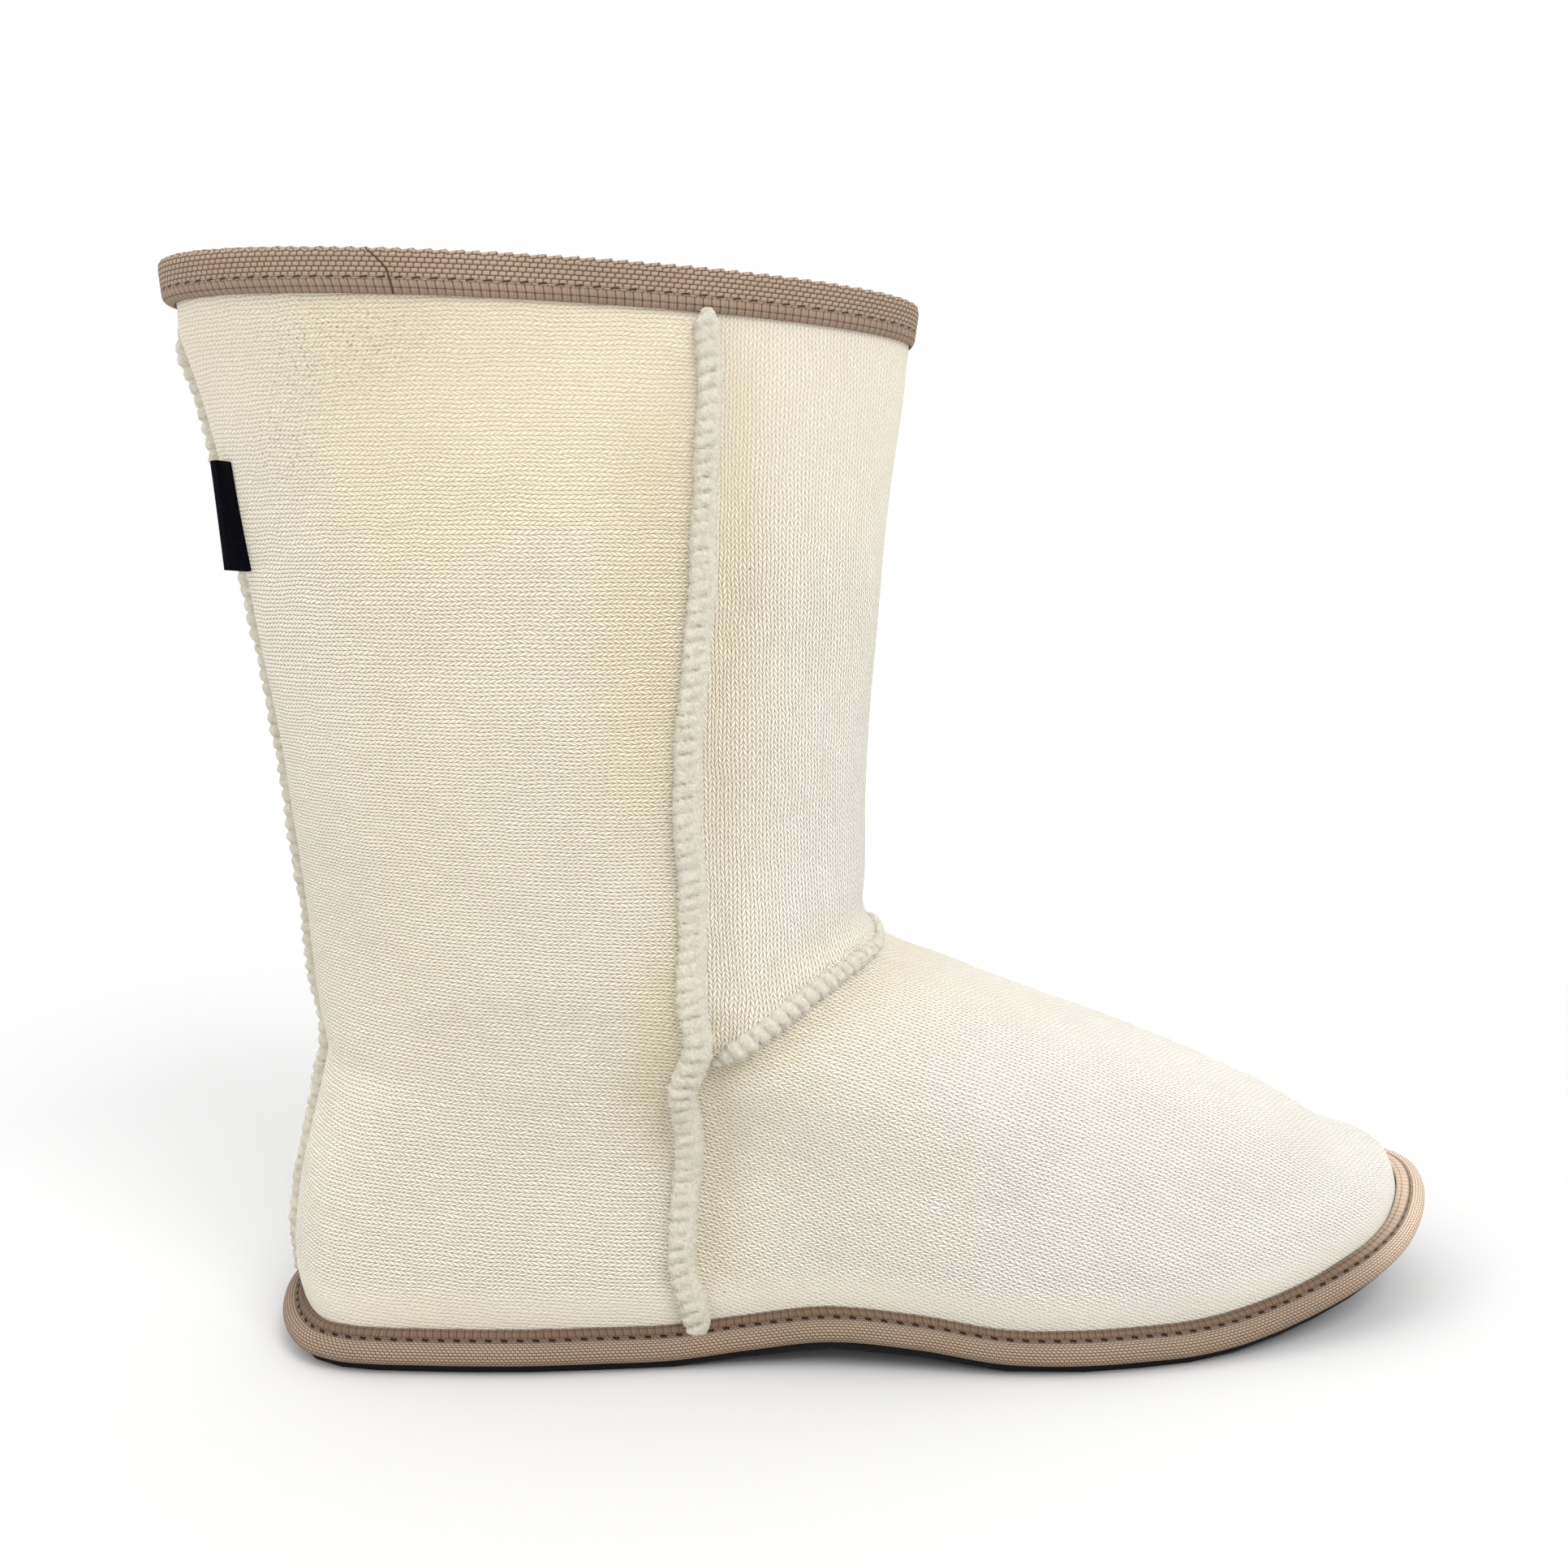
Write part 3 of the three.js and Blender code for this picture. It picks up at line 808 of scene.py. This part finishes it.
wool_knit = felted_knit()
upper = grid_piece(
    "knit_upper",
    wall,
    knit_maps(shown, arc, over_front, over_foot),
    masks={"inside": inside, "painted_crease_shade": painted_crease_shade, "felted": felted},
    panel=panel,
)
dress(upper, wool_knit, "wool_knit", "upper")

# %% [markdown]
# The raised seams are overlocked: two cloth edges are wrapped together by a loop of thread at every
# stitch, so the ridge swells between the loops and is pinched under them. Each ridge follows the line,
# width and height of its solid, and reaches down until it meets the cloth.

# %% Frames along a seam
SEAM_STEP = 0.42
SEAM_CORNERS = 26
SINK = 0.5

wall_tree = KDTree(outer_face[..., 0].size)
for index, spot in enumerate(outer_face.reshape(-1, 3)):
    wall_tree.insert(spot, index)
wall_tree.balance()


def on_wall(spots):
    found = [wall_tree.find(spot)[1] for spot in spots]
    return outer_face.reshape(-1, 3)[found], outer_normals.reshape(-1, 3)[found]


def seam_frames(node):
    points = rings[node]
    middle = points.mean(axis=1)
    forward = unit(np.gradient(middle, axis=0))
    out = on_wall(middle)[1]
    side = unit(np.cross(forward, out))
    out = np.cross(side, forward)
    local = points - middle[:, None]
    stand = (local * out[:, None]).sum(axis=-1)
    reach = (local * side[:, None]).sum(axis=-1)
    foot = middle + out * stand.min(axis=1, keepdims=True)
    sizes = np.stack([np.ptp(reach, axis=1) / 2, np.ptp(stand, axis=1)], axis=-1)
    return np.concatenate([foot, forward, out, side, sizes], axis=1)


def lengthened(frames, tail, head):
    first, last = frames[0].copy(), frames[-1].copy()
    first[:3] -= first[3:6] * tail
    last[:3] += last[3:6] * head
    rows = ([first] if tail else []) + list(frames) + ([last] if head else [])
    return np.array(rows)


frames_of = {node: seam_frames(node) for node in LOFTS if node.endswith("_seam")}
print("seam frames", {node: len(rows) for node, rows in frames_of.items()})

# %% [markdown]
# A table says how each seam is sewn: the length of a stitch, how deep and how round its pinch is, on
# which side the pinches lie when the other side is a smooth roll, and how much they slant. Then come its
# width and height beside those of its solid, how far the ends run on and how long a point they have, how
# far the points step off the wall, how much the seam narrows and wanders, and how far its middle rides
# up.

# %% Overlocked ridges
SEAM_COLUMNS = [
    "node", "pitch", "pinch", "swell", "sewn", "slant", "wide", "high",
    "tail", "head", "tail_point", "head_point", "step", "narrow", "wander", "lift",
]
SEAMS = [
    ["outer_side_seam", 2.9, 0.3, 0.35, -1, 0.27, 0.86, 0.74, 4.5, 2.4, 4.5, 2.5, 1.7, 0.2, 0.35, 0],
    ["inner_side_seam", 2.9, 0.3, 0.35, 1, -0.27, 0.86, 0.74, 0, 2.4, 0, 2.5, 1.7, 0.2, 0.35, 0],
    ["back_seam", 3.0, 0.26, 0.5, 0, 0.1, 0.62, 0.85, 0, 0, 0, 7.0, 0, 0, 0.6, 0],
    ["instep_seam", 2.85, 0.4, 0.5, 0, 0.12, 0.64, 0.85, 6.0, 6.0, 7.0, 7.0, -1.4, 0, 0.2, 1.0],
]
LIFT_REACH = 20.0
SEAT_REACH = 4.0
SEAT_SMOOTHING = 24
DEEPEST_DROP = 3.0
VALLEY = {"middle": -0.3, "width": 0.13}
VALLEY_DEPTH = 0.07
FLUFF = [(0.85, 0.34), (2.1, 0.2)]
WAVERS = [(0.6, 7.3, 1), (0.5, 17.0, 1), (0.4, 3.1, 2.3)]


def waver(along, seed):
    return sum(height * np.sin(along / length + shift * seed) for height, length, shift in WAVERS)


def fluff(points):
    flat = [Vector(point) for point in points.reshape(-1, 3)]
    total = sum(height * np.array([field.noise(spot * scale) for spot in flat]) for scale, height in FLUFF)
    return total.reshape(points.shape[:-1])


def ridge_profile(along, sizes, sewing, seed):
    turn = np.linspace(0, 2 * np.pi, SEAM_CORNERS, endpoint=False)
    across = np.sign(np.cos(turn)) * np.abs(np.cos(turn)) ** 0.85
    arch = np.clip(np.sin(turn), 0, 1) ** 0.62
    phase = (along / sewing["pitch"] + 0.16 * waver(along, seed))[:, None] - sewing["slant"] * across
    swell = np.abs(np.sin(np.pi * phase)) ** sewing["swell"]
    toward = across * (sewing["sewn"] or 1)
    sewn = ease(toward, -0.5, -0.1) if sewing["sewn"] else np.ones_like(across)
    pinched = sewn * (1 - swell) * sewing["pinch"]
    valley = VALLEY_DEPTH * bell(toward, **VALLEY) if sewing["sewn"] else 0
    uneven = 1 + 0.08 * waver(1.7 * along, seed + 1)[:, None]
    width = sizes[:, :1] * sewing["wide"] * (1 - 0.5 * pinched)
    height = sizes[:, 1:] * sewing["high"] * arch * uneven * (1 - pinched - valley)
    return width * across, height, sewn * (1 - swell) ** 1.5, turn


def smoothed(rows, reach):
    window = np.hanning(2 * reach + 1)
    padded = np.concatenate([rows[:1].repeat(reach, axis=0), rows, rows[-1:].repeat(reach, axis=0)])
    columns = [np.convolve(column, window / window.sum(), "valid") for column in padded.T]
    return np.stack(columns, axis=-1)


def seam_route(sewing, seed):
    frames = lengthened(frames_of[sewing["node"]], sewing["tail"], sewing["head"])
    knots = distances(frames[:, :3])
    along = np.arange(0, knots[-1], SEAM_STEP)
    foot, forward, out, side, sizes = np.split(through(frames, knots, along), [3, 6, 9, 12], axis=1)
    foot = foot + side * (sewing["wander"] * waver(along, seed + 5))[:, None]
    rounded = np.minimum(ease(along, -0.9, 1.4), 1 - ease(along, knots[-1] - 1.4, knots[-1] + 0.9))
    tail = ease(along, -1, sewing["tail_point"] + 1) if sewing["tail_point"] else 1
    head = ease(knots[-1] - along, -1, sewing["head_point"] + 1) if sewing["head_point"] else 1
    rounded = rounded * tail * head
    foot = foot + out * (sewing["step"] * (1 - np.ones_like(along) * tail * head))[:, None]
    sizes[:, 0] *= 1 - sewing["narrow"] * ease(along / knots[-1], 0.3, 1)
    if sewing["lift"]:
        middle = bell(foot[:, 1:2], 0, LIFT_REACH)
        raised = foot + np.array([0, 0, 1]) * sewing["lift"] * middle
        foot = raised * (1 - middle) + (on_wall(raised)[0] + 0.2 * out) * middle
        sizes = sizes * (1 - 0.5 * middle)
    off_wall = ((on_wall(foot)[0] - foot) * out).sum(axis=1)
    foot = foot + out * np.clip(off_wall, -SEAT_REACH if sewing["lift"] else 0, SEAT_REACH)[:, None]
    foot = smoothed(foot, SEAT_SMOOTHING) if sewing["lift"] else foot
    return along, foot, out, side, sizes * (0.25 + 0.75 * rounded[:, None])


def overlock_ridge(sewing, seed):
    along, foot, out, side, sizes = seam_route(sewing, seed)
    above_wall = ((foot - on_wall(foot)[0]) * out).sum(axis=1)
    drop = np.clip(above_wall, 0, DEEPEST_DROP) + SINK * (1 + 2 * sewing["lift"])
    across, height, pinched, turn = ridge_profile(along, sizes, sewing, seed)
    height = height - drop[:, None] * np.clip(-3 * np.sin(turn) + 0.25, 0, 1)
    points = foot[:, None] + side[:, None] * across[..., None] + out[:, None] * height[..., None]
    core = foot[:, None] + 0.4 * out[:, None] * sizes[:, None, 1:]
    points = points + unit(points - core) * fluff(points)[..., None]
    spots = np.stack(np.broadcast_arrays(along[:, None], wrapped(across, (False, True))), axis=-1)
    piece = grid_piece(sewing["node"] + "_thread", points, spots, (False, True), {"pinched": pinched})
    close_ends(piece)
    return piece, points


def close_ends(piece):
    mesh = bmesh.new()
    mesh.from_mesh(piece.data)
    bmesh.ops.holes_fill(mesh, edges=[edge for edge in mesh.edges if edge.is_boundary])
    mesh.to_mesh(piece.data)
    mesh.free()


sewn_seams = table(SEAM_COLUMNS, SEAMS)
for sewing in sewn_seams:
    seam_length = distances(frames_of[sewing["node"]][:, :3])[-1]
    print(sewing["node"], "has about", round(seam_length / sewing["pitch"]), "stitches")

# %% [markdown]
# The overlock thread is the same wool, whiter because it is new and fluffy. The pinches under its
# loops and the hollows between its curls hold painted shade.

# %% Overlock wool
WOOL_WHITE = (0.92, 0.89, 0.77, 1)


def overlock_wool():
    material, start = material_tree("overlock_wool")
    place = place_in_mm(start)
    pinched = attribute(start, "pinched")
    along, across = cloth_uv(start)
    strands = ((across * 1.1 + along * 0.5) / 0.55 + noise(start, place, 0.8) * 3).part().hump()
    curls = noise(start, place, 1.3, 6.0, 0.75)
    wool = paint(WOOL_WHITE, CREAM, noise(start, place, 0.35, 3.0))
    # painted shade in the pinches and between the curls
    wool = paint(wool, PIT_SHADE, pinched * 0.45 + (1 - curls.ease(0.35, 0.6)) * 0.3)
    finish_material(start, wool, 0.95, strands * 0.3 + curls * 2.0, 0.5, sheen=0.3)
    return material


wool_thread = overlock_wool()
ridges = {}
for seed, sewing in enumerate(sewn_seams):
    piece, ridges[sewing["node"]] = overlock_ridge(sewing, seed)
    dress(piece, wool_thread, "wool_thread", sewing["node"])

# %% [markdown]
# Felted wool never has a clean edge: loose fibres stand off it everywhere. Each fibre is a thin spike
# with three sides, sown at random over the surface and leaning its own way. The random numbers start from
# a fixed seed, so the fuzz is the same at every run.

# %% Loose fibres
FIBRE_FACES = np.array([[0, 1, 3], [1, 2, 3], [2, 0, 3], [2, 1, 0]])
FIBRE_WHITE = (0.84, 0.82, 0.74, 1)
FIBRE_WIDTH = 0.07
KNIT_FIBRE, SEAM_FIBRE = 1.1, 1.0
KNIT_FIBRES = 34000
SEAM_FIBRES_PER_MM = 50
BARE_FOOT, BARE_RIM = 6, 8
chance = np.random.default_rng(41)


def sown(grid, count, closed):
    grid = wrapped(grid, closed)
    corner, along, up = grid[:-1, :-1], grid[1:, :-1], grid[:-1, 1:]
    normal = np.cross(along - corner, up - corner).reshape(-1, 3)
    area = np.linalg.norm(normal, axis=1)
    cell = chance.choice(len(area), size=count, p=area / area.sum())
    a, b = chance.random((2, count, 1))
    corner, along, up = (part.reshape(-1, 3)[cell] for part in (corner, along, up))
    return corner + a * (along - corner) + b * (up - corner), unit(normal[cell])


def fibre_mesh(name, roots, normals, longest):
    count = len(roots)
    way = unit(normals * 0.55 + unit(chance.normal(size=(count, 3))) * 0.75)
    side = unit(np.cross(way, chance.normal(size=(count, 3))))
    other = np.cross(way, side)
    turns = np.array([0, 2, 4]) * np.pi / 3
    ring = np.cos(turns)[None, :, None] * side[:, None] + np.sin(turns)[None, :, None] * other[:, None]
    tips = roots + way * longest * chance.uniform(0.35, 1, (count, 1))
    corners = np.concatenate([roots[:, None] + ring * FIBRE_WIDTH / 2, tips[:, None]], axis=1)
    faces = FIBRE_FACES[None] + 4 * np.arange(count)[:, None, None]
    data = bpy.data.meshes.new(name)
    data.from_pydata((corners.reshape(-1, 3) * MM).tolist(), [], faces.reshape(-1, 3).tolist())
    return placed(name, data)


def loose_wool():
    material, start = material_tree("loose_wool")
    surface(start, {"Base Color": FIBRE_WHITE, "Roughness": 1.0, "Specular IOR Level": 0.1})
    return material


fibre_wool = loose_wool()
open_rows = (wall_way > BARE_FOOT) & (wall_way < wall_way[-1] - BARE_RIM)
roots, normals = sown(outer_face[:, open_rows], KNIT_FIBRES, (True, False))
dress(fibre_mesh("knit_fuzz", roots, normals, KNIT_FIBRE), fibre_wool, "wool_knit")
spots = []
for points in ridges.values():
    count = round(SEAM_FIBRES_PER_MM * len(points) * SEAM_STEP)
    spots.append(sown(points, count, (False, True)))
roots, normals = (np.concatenate(part) for part in zip(*spots))
dress(fibre_mesh("seam_fuzz", roots, normals, SEAM_FIBRE), fibre_wool, "wool_thread")

# %% [markdown]
# Both bindings are the same woven tape: a twill face, a row of stitching, and a narrow ladder-like
# selvedge. The gaps between its blocks and the groove of its stitching hold painted shade, and the
# selvedge is darker, partly by its own colour and partly by painted shade. The corners of the solid are
# cut and cut again, which rounds a folded tape without letting it grow. Round the toe the tape is pulled
# tight, with upright ribs, and a painted highlight makes it paler there. The collar's tape has one joint,
# which shows as a dark thread across it.

# %% Woven tape
TAPE_REPEAT = 3.4
COLLAR_STITCH = 7.8
TAPE = (0.305, 0.22, 0.155, 1)
TAPE_PALE_AND_HIGHLIGHT = (0.75, 0.575, 0.445, 1)
TAPE_SHADE_AND_DARK_YARN = (0.08, 0.046, 0.024, 1)
JOINT = 60.3
NO_JOINT = -60.0
JOINT_LEAN, JOINT_RUN = 4.2, 7
ROW_SHIFT = 0.36
TOE_FADE = (105, 142)
TOE_RIB = 2.6
WEAVE_COLUMNS = ["name", "block", "row", "slant", "dash", "line", "dark", "groove", "hole", "joint"]
WEAVES = [
    ["sole_tape_weave", 0.97, 0.62, 0.3, 0.24, 0.33, 0.72, 0.75, (0.04, 0.02, 0.007, 1), NO_JOINT],
    ["collar_tape_weave", 1.5, 0.95, 0.3, 0.27, 0.2, 0.25, 0.2, (0.085, 0.052, 0.03, 1), JOINT],
]


def cut_corners(points, times):
    for _ in range(times):
        after = np.roll(points, -1, axis=1)
        both = np.stack([0.8 * points + 0.2 * after, 0.2 * points + 0.8 * after], axis=2)
        points = both.reshape(points.shape[0], -1, 3)
    return points


def tape_weave(weave):
    material, start = material_tree(weave["name"])
    place = place_in_mm(start)
    along, below = cloth_uv(start)
    toe = split(start, place).ease(*TOE_FADE)
    row = below.math("FLOOR", below / weave["row"])
    place_in_row = (along + below * weave["slant"] + row * ROW_SHIFT * weave["block"]) / weave["block"]
    block = place_in_row.part().hump() ** 0.5 * (below / weave["row"]).part().hump() ** 0.5
    rung = (along / (TAPE_REPEAT / 2)).part().hump() ** 0.4
    pair = (along / (TAPE_REPEAT / 2) + 0.38).part().hump().ease(0.0, 0.3) * 0.35 + 0.65
    selvedge = below.ease(0.3, 0.55)
    rung = rung * ((below / 1.5 - 0.28).part().hump() ** 0.3)
    weave_height = block * (1 - selvedge) + rung * pair * selvedge
    groove = 1 - below.size().ease(0.2, 0.9)
    dash = 1 - ((along / TAPE_REPEAT).part() - 0.5).size().ease(weave["dash"] * 0.7, weave["dash"])
    slanted = below + ((along / TAPE_REPEAT).part() - 0.5) * 0.5
    line = 1 - slanted.size().ease(weave["line"] * 0.6, weave["line"] * 1.2)
    stitch = dash * line * (1 - toe * 0.8)
    threads = 1 - (below.size() - 0.12).size().ease(0.05, 0.16)
    fibres = noise(start, place, 2.2, 3.0)
    tone = noise(start, place, 0.05, 3.0).ease(0.25, 0.75)
    # painted highlight: the tape is painted paler round the toe, on top of a little random tone
    tape = paint(TAPE, TAPE_PALE_AND_HIGHLIGHT, tone * 0.08 + fibres * 0.12 + toe)
    # the selvedge is darker, partly its own colour and partly painted shade under the overhanging wool;
    # painted shade also lies between the woven blocks and in the stitching groove
    tape = paint(tape, TAPE_SHADE_AND_DARK_YARN, selvedge * (1 - toe * 0.65) * weave["dark"])
    tape = paint(TAPE_SHADE_AND_DARK_YARN, tape, weave_height.ease(0.15, 0.7) * 0.9 + 0.1 + toe * 0.3)
    tape = paint(tape, TAPE_SHADE_AND_DARK_YARN, groove * weave["groove"])
    tape = paint(tape, TAPE_PALE_AND_HIGHLIGHT, threads * 0.2)
    # the stitches are dark thread with painted shade in their holes
    tape = paint(tape, weave["hole"], stitch)
    joint = (along - weave["joint"] - (below + COLLAR_STITCH).ease(0, JOINT_RUN) * JOINT_LEAN).size()
    tape = paint(tape, weave["hole"], 1 - joint.ease(0.12, 0.4))
    ribs = (along / TOE_RIB).part().hump() * toe * (1 - below.ease(-2.5, -0.8))
    height = weave_height + fibres * 0.3 + threads * 0.4 + ribs * 0.7 - stitch * 1.4
    finish_material(start, tape, 0.8, height, 0.35, sheen=0.04, shine=0.08)
    return material


def tape_ring(node, stations, below_of):
    ring = cut_corners(through_closed(rings[node], stations), 2)
    way = distances(wrapped(ring, (False, True)).swapaxes(0, 1))
    length = distances(wrapped(ring, (True, False)))[-1]
    repeats = round(length / TAPE_REPEAT)
    along = np.linspace(0, repeats * TAPE_REPEAT, stations + 1)
    spots = np.stack(np.broadcast_arrays(along[:, None], below_of(way, ring)[None]), axis=-1)
    return ring, spots


def way_at(way, ring, corner):
    gap = np.linalg.norm(ring - corner[:, None], axis=-1).mean(axis=0)
    return way[np.argmin(gap)]


tapes = {weave["name"]: tape_weave(weave) for weave in table(WEAVE_COLUMNS, WEAVES)}
print("weaves", list(tapes))

# %% [markdown]
# The sole's tape is drawn in until its upper edge lies on the wool, and its pattern is counted from the
# groove where it is sewn on.

# %% Sole tape
SOLE_GROOVE = 3
SOLE_STATIONS = 560
BAND_TOP_OUTER, BAND_TOP_INNER = 5, 6
BAND_LIFT = 0.8


def below_sole_stitch(way, ring):
    groove = through_closed(rings["sole_binding"][:, SOLE_GROOVE], len(ring))
    half = way[-1] / 2
    return (way - way_at(way, ring, groove) + half) % (2 * half) - half


def hug_the_wool(ring):
    top = ring[:, BAND_TOP_INNER]
    gap = on_wall(top)[0] - top
    gap[:, 2] = 0
    ring[:, BAND_TOP_INNER] += gap
    ring[:, BAND_TOP_OUTER] += gap / 2
    ring[:, [BAND_TOP_INNER, BAND_TOP_OUTER], 2] += BAND_LIFT
    return np.linalg.norm(gap, axis=1).max()


print("widest gap closed", round(hug_the_wool(rings["sole_binding"]), 2), "mm")
points, spots = tape_ring("sole_binding", SOLE_STATIONS, below_sole_stitch)
dress(grid_piece("sole_tape", points, spots), tapes["sole_tape_weave"], "tape", "sole_binding")

# %% [markdown]
# The collar's tape is folded over the rim, so its pattern is counted from the fold and is the same on
# both faces. Its twill is coarse enough to make the rim a row of small teeth. Behind the heel its lower
# edge stands out with the swell of the back panel.

# %% Collar tape
COLLAR_STATIONS = 900
RIM, RIM_OUTER, RIM_INNER = 0, 1, 2
OUTER_FOOT, OUTER_MIDDLE = 12, 13
FOOT_LIFT = 1.4
FOOT_FLARE = 2.2
FLARE_REACH = 15
FLARE_FADE = (85, 105)
SHARPER = 0.6
TOOTH_HIGH, TOOTH_LONG = 0.55, TAPE_REPEAT * 0.9
TOOTH_FADE = (2.2, 0.2)


def below_collar_stitch(way, ring):
    outer = through_closed(rings["collar_binding"][:, RIM_OUTER], len(ring))
    inner = through_closed(rings["collar_binding"][:, RIM_INNER], len(ring))
    fold = (way_at(way, ring, outer) + way_at(way, ring, inner)) / 2
    gap = np.abs(way - fold)
    return np.minimum(gap, way[-1] - gap) - COLLAR_STITCH


collar = rings["collar_binding"]
collar[:, OUTER_FOOT, 2] += FOOT_LIFT
collar[:, OUTER_MIDDLE, 2] += FOOT_LIFT / 2
foot_x, foot_y, _ = collar[:, OUTER_FOOT].T
flare = FOOT_FLARE * bell(foot_y, 0, FLARE_REACH) * ease(-foot_x, *FLARE_FADE)
collar[:, OUTER_FOOT, 0] -= flare
collar[:, OUTER_MIDDLE, 0] -= flare / 2
collar[:, RIM_OUTER, :2] += SHARPER * (collar[:, RIM, :2] - collar[:, RIM_OUTER, :2])
points, spots = tape_ring("collar_binding", COLLAR_STATIONS, below_collar_stitch)
top = points[..., 2].max(axis=1, keepdims=True)
saw = (spots[:-1, :1, 0] / TOOTH_LONG) % 1
points[..., 2] += TOOTH_HIGH * (saw - 0.5) * ease(points[..., 2], top - TOOTH_FADE[0], top - TOOTH_FADE[1])
dress(grid_piece("collar_tape", points, spots), tapes["collar_tape_weave"], "tape", "collar_binding")

# %% [markdown]
# The footbed and the outsole are sheets cut to the shape of the foot. Their solids already have that
# shape, so they are copied, welded and given round edges.

# %% Sheets with round edges
SHARP = math.radians(45)


def rounded_copy(node, name, rounding):
    mesh = welded(node)
    edges = [edge for edge in mesh.edges if edge.calc_face_angle(0) > SHARP]
    curve = {"segments": 3, "profile": 0.5, "clamp_overlap": True}
    bmesh.ops.bevel(mesh, geom=edges, offset=rounding * MM, affect="EDGES", material=-1, **curve)
    return mesh_piece(name, mesh)


def fleece():
    material, start = material_tree("brushed_fleece")
    place = place_in_mm(start)
    curls = noise(start, place, 0.5, 5.0, 0.75)
    wool = paint(FLEECE, CREAM, curls)
    finish_material(start, wool, 0.95, curls, 1.2, sheen=0.3)
    return material


def dark_rubber():
    material, start = material_tree("dark_rubber")
    place = place_in_mm(start)
    grain = noise(start, place, 1.4, 3.0)
    rubber = paint((0.010, 0.009, 0.011, 1), (0.020, 0.018, 0.020, 1), grain)
    finish_material(start, rubber, 0.75, grain, 0.15, shine=0.08)
    return material


footbed = dress(rounded_copy("insole", "fleece_footbed", 0.8), fleece(), "wool_lining", "insole")
dress(rounded_copy("outsole", "rubber_outsole", 0.3), dark_rubber(), "dark_sole", "outsole")

# %% [markdown]
# The tab is a short length of satin ribbon folded in half, with its two ends laid on the wool by the back
# seam. Two thin layers and a round fold between them make it a ribbon where a block would look like a
# peg.

# %% Folded tab
TAB_LAYER = 0.4
TAB_STATIONS = 40
TAB_WIDE = (1.9, 3.7)
FOLD_POINTS = 7
TAB_SHIFT = (0.6, 0, 0.9)
TAB_DROP = 0.4
TAB_RAGGED = 0.25
TAB_BLACK = (0.0012, 0.0012, 0.0026, 1)
TAB_SHEEN = (0.004, 0.004, 0.007, 1)


def ribbon():
    material, start = material_tree("satin_ribbon")
    along, across = cloth_uv(start)
    ribs = (along / 0.35).part().hump()
    cloth = paint(TAB_BLACK, TAB_SHEEN, ribs)
    finish_material(start, cloth, 0.6, ribs, 0.08, shine=0.03)
    return material


def folded_rows(ring):
    near, back_near, back_far, far, tip = np.moveaxis(ring, 1, 0)
    turn = np.linspace(0, np.pi, FOLD_POINTS)[None, :, None]
    middle, half = (near + far)[:, None] / 2, (near - far)[:, None] / 2
    bend = middle + half * np.cos(turn) + (tip - (near + far) / 2)[:, None] * np.sin(turn)
    return np.concatenate([back_near[:, None], bend, back_far[:, None]], axis=1)


def smooth_line(points, degree=2):
    steps = np.linspace(0, 1, len(points))
    columns = [np.polyval(np.polyfit(steps, column, degree), steps) for column in points.T]
    return np.stack(columns, axis=-1)


tab_rows = through_open(folded_rows(rings["back_tab"]), TAB_STATIONS)
tab_rows += TAB_SHIFT
up_tab = np.linspace(0, 1, TAB_STATIONS)
roots = tab_rows[:, FOLD_POINTS // 2 + 1].copy()
roots[:, 0] += np.interp(up_tab, [0, 1], TAB_WIDE) + TAB_RAGGED * np.sin(9 * up_tab)
level = roots[:, 2:] - TAB_DROP
roots, normals = (smooth_line(found) for found in on_wall(roots))
roots = np.concatenate([roots[:, :2], level], axis=1)
tab_rows[:, 0] = roots + normals * TAB_LAYER
tab_rows[:, -1] = roots - normals * TAB_LAYER
tab_way = distances(tab_rows.swapaxes(0, 1))
tab_up = distances(tab_rows)
tab_spots = np.stack(np.broadcast_arrays(tab_up[:, None], tab_way[None]), axis=-1)
tab = grid_piece("folded_tab", tab_rows, tab_spots, (False, False))
layers = tab.modifiers.new("layers", "SOLIDIFY")
layers.thickness = TAB_LAYER * MM
layers.offset = 0
dress(tab, ribbon(), "tab_weave", "back_tab")
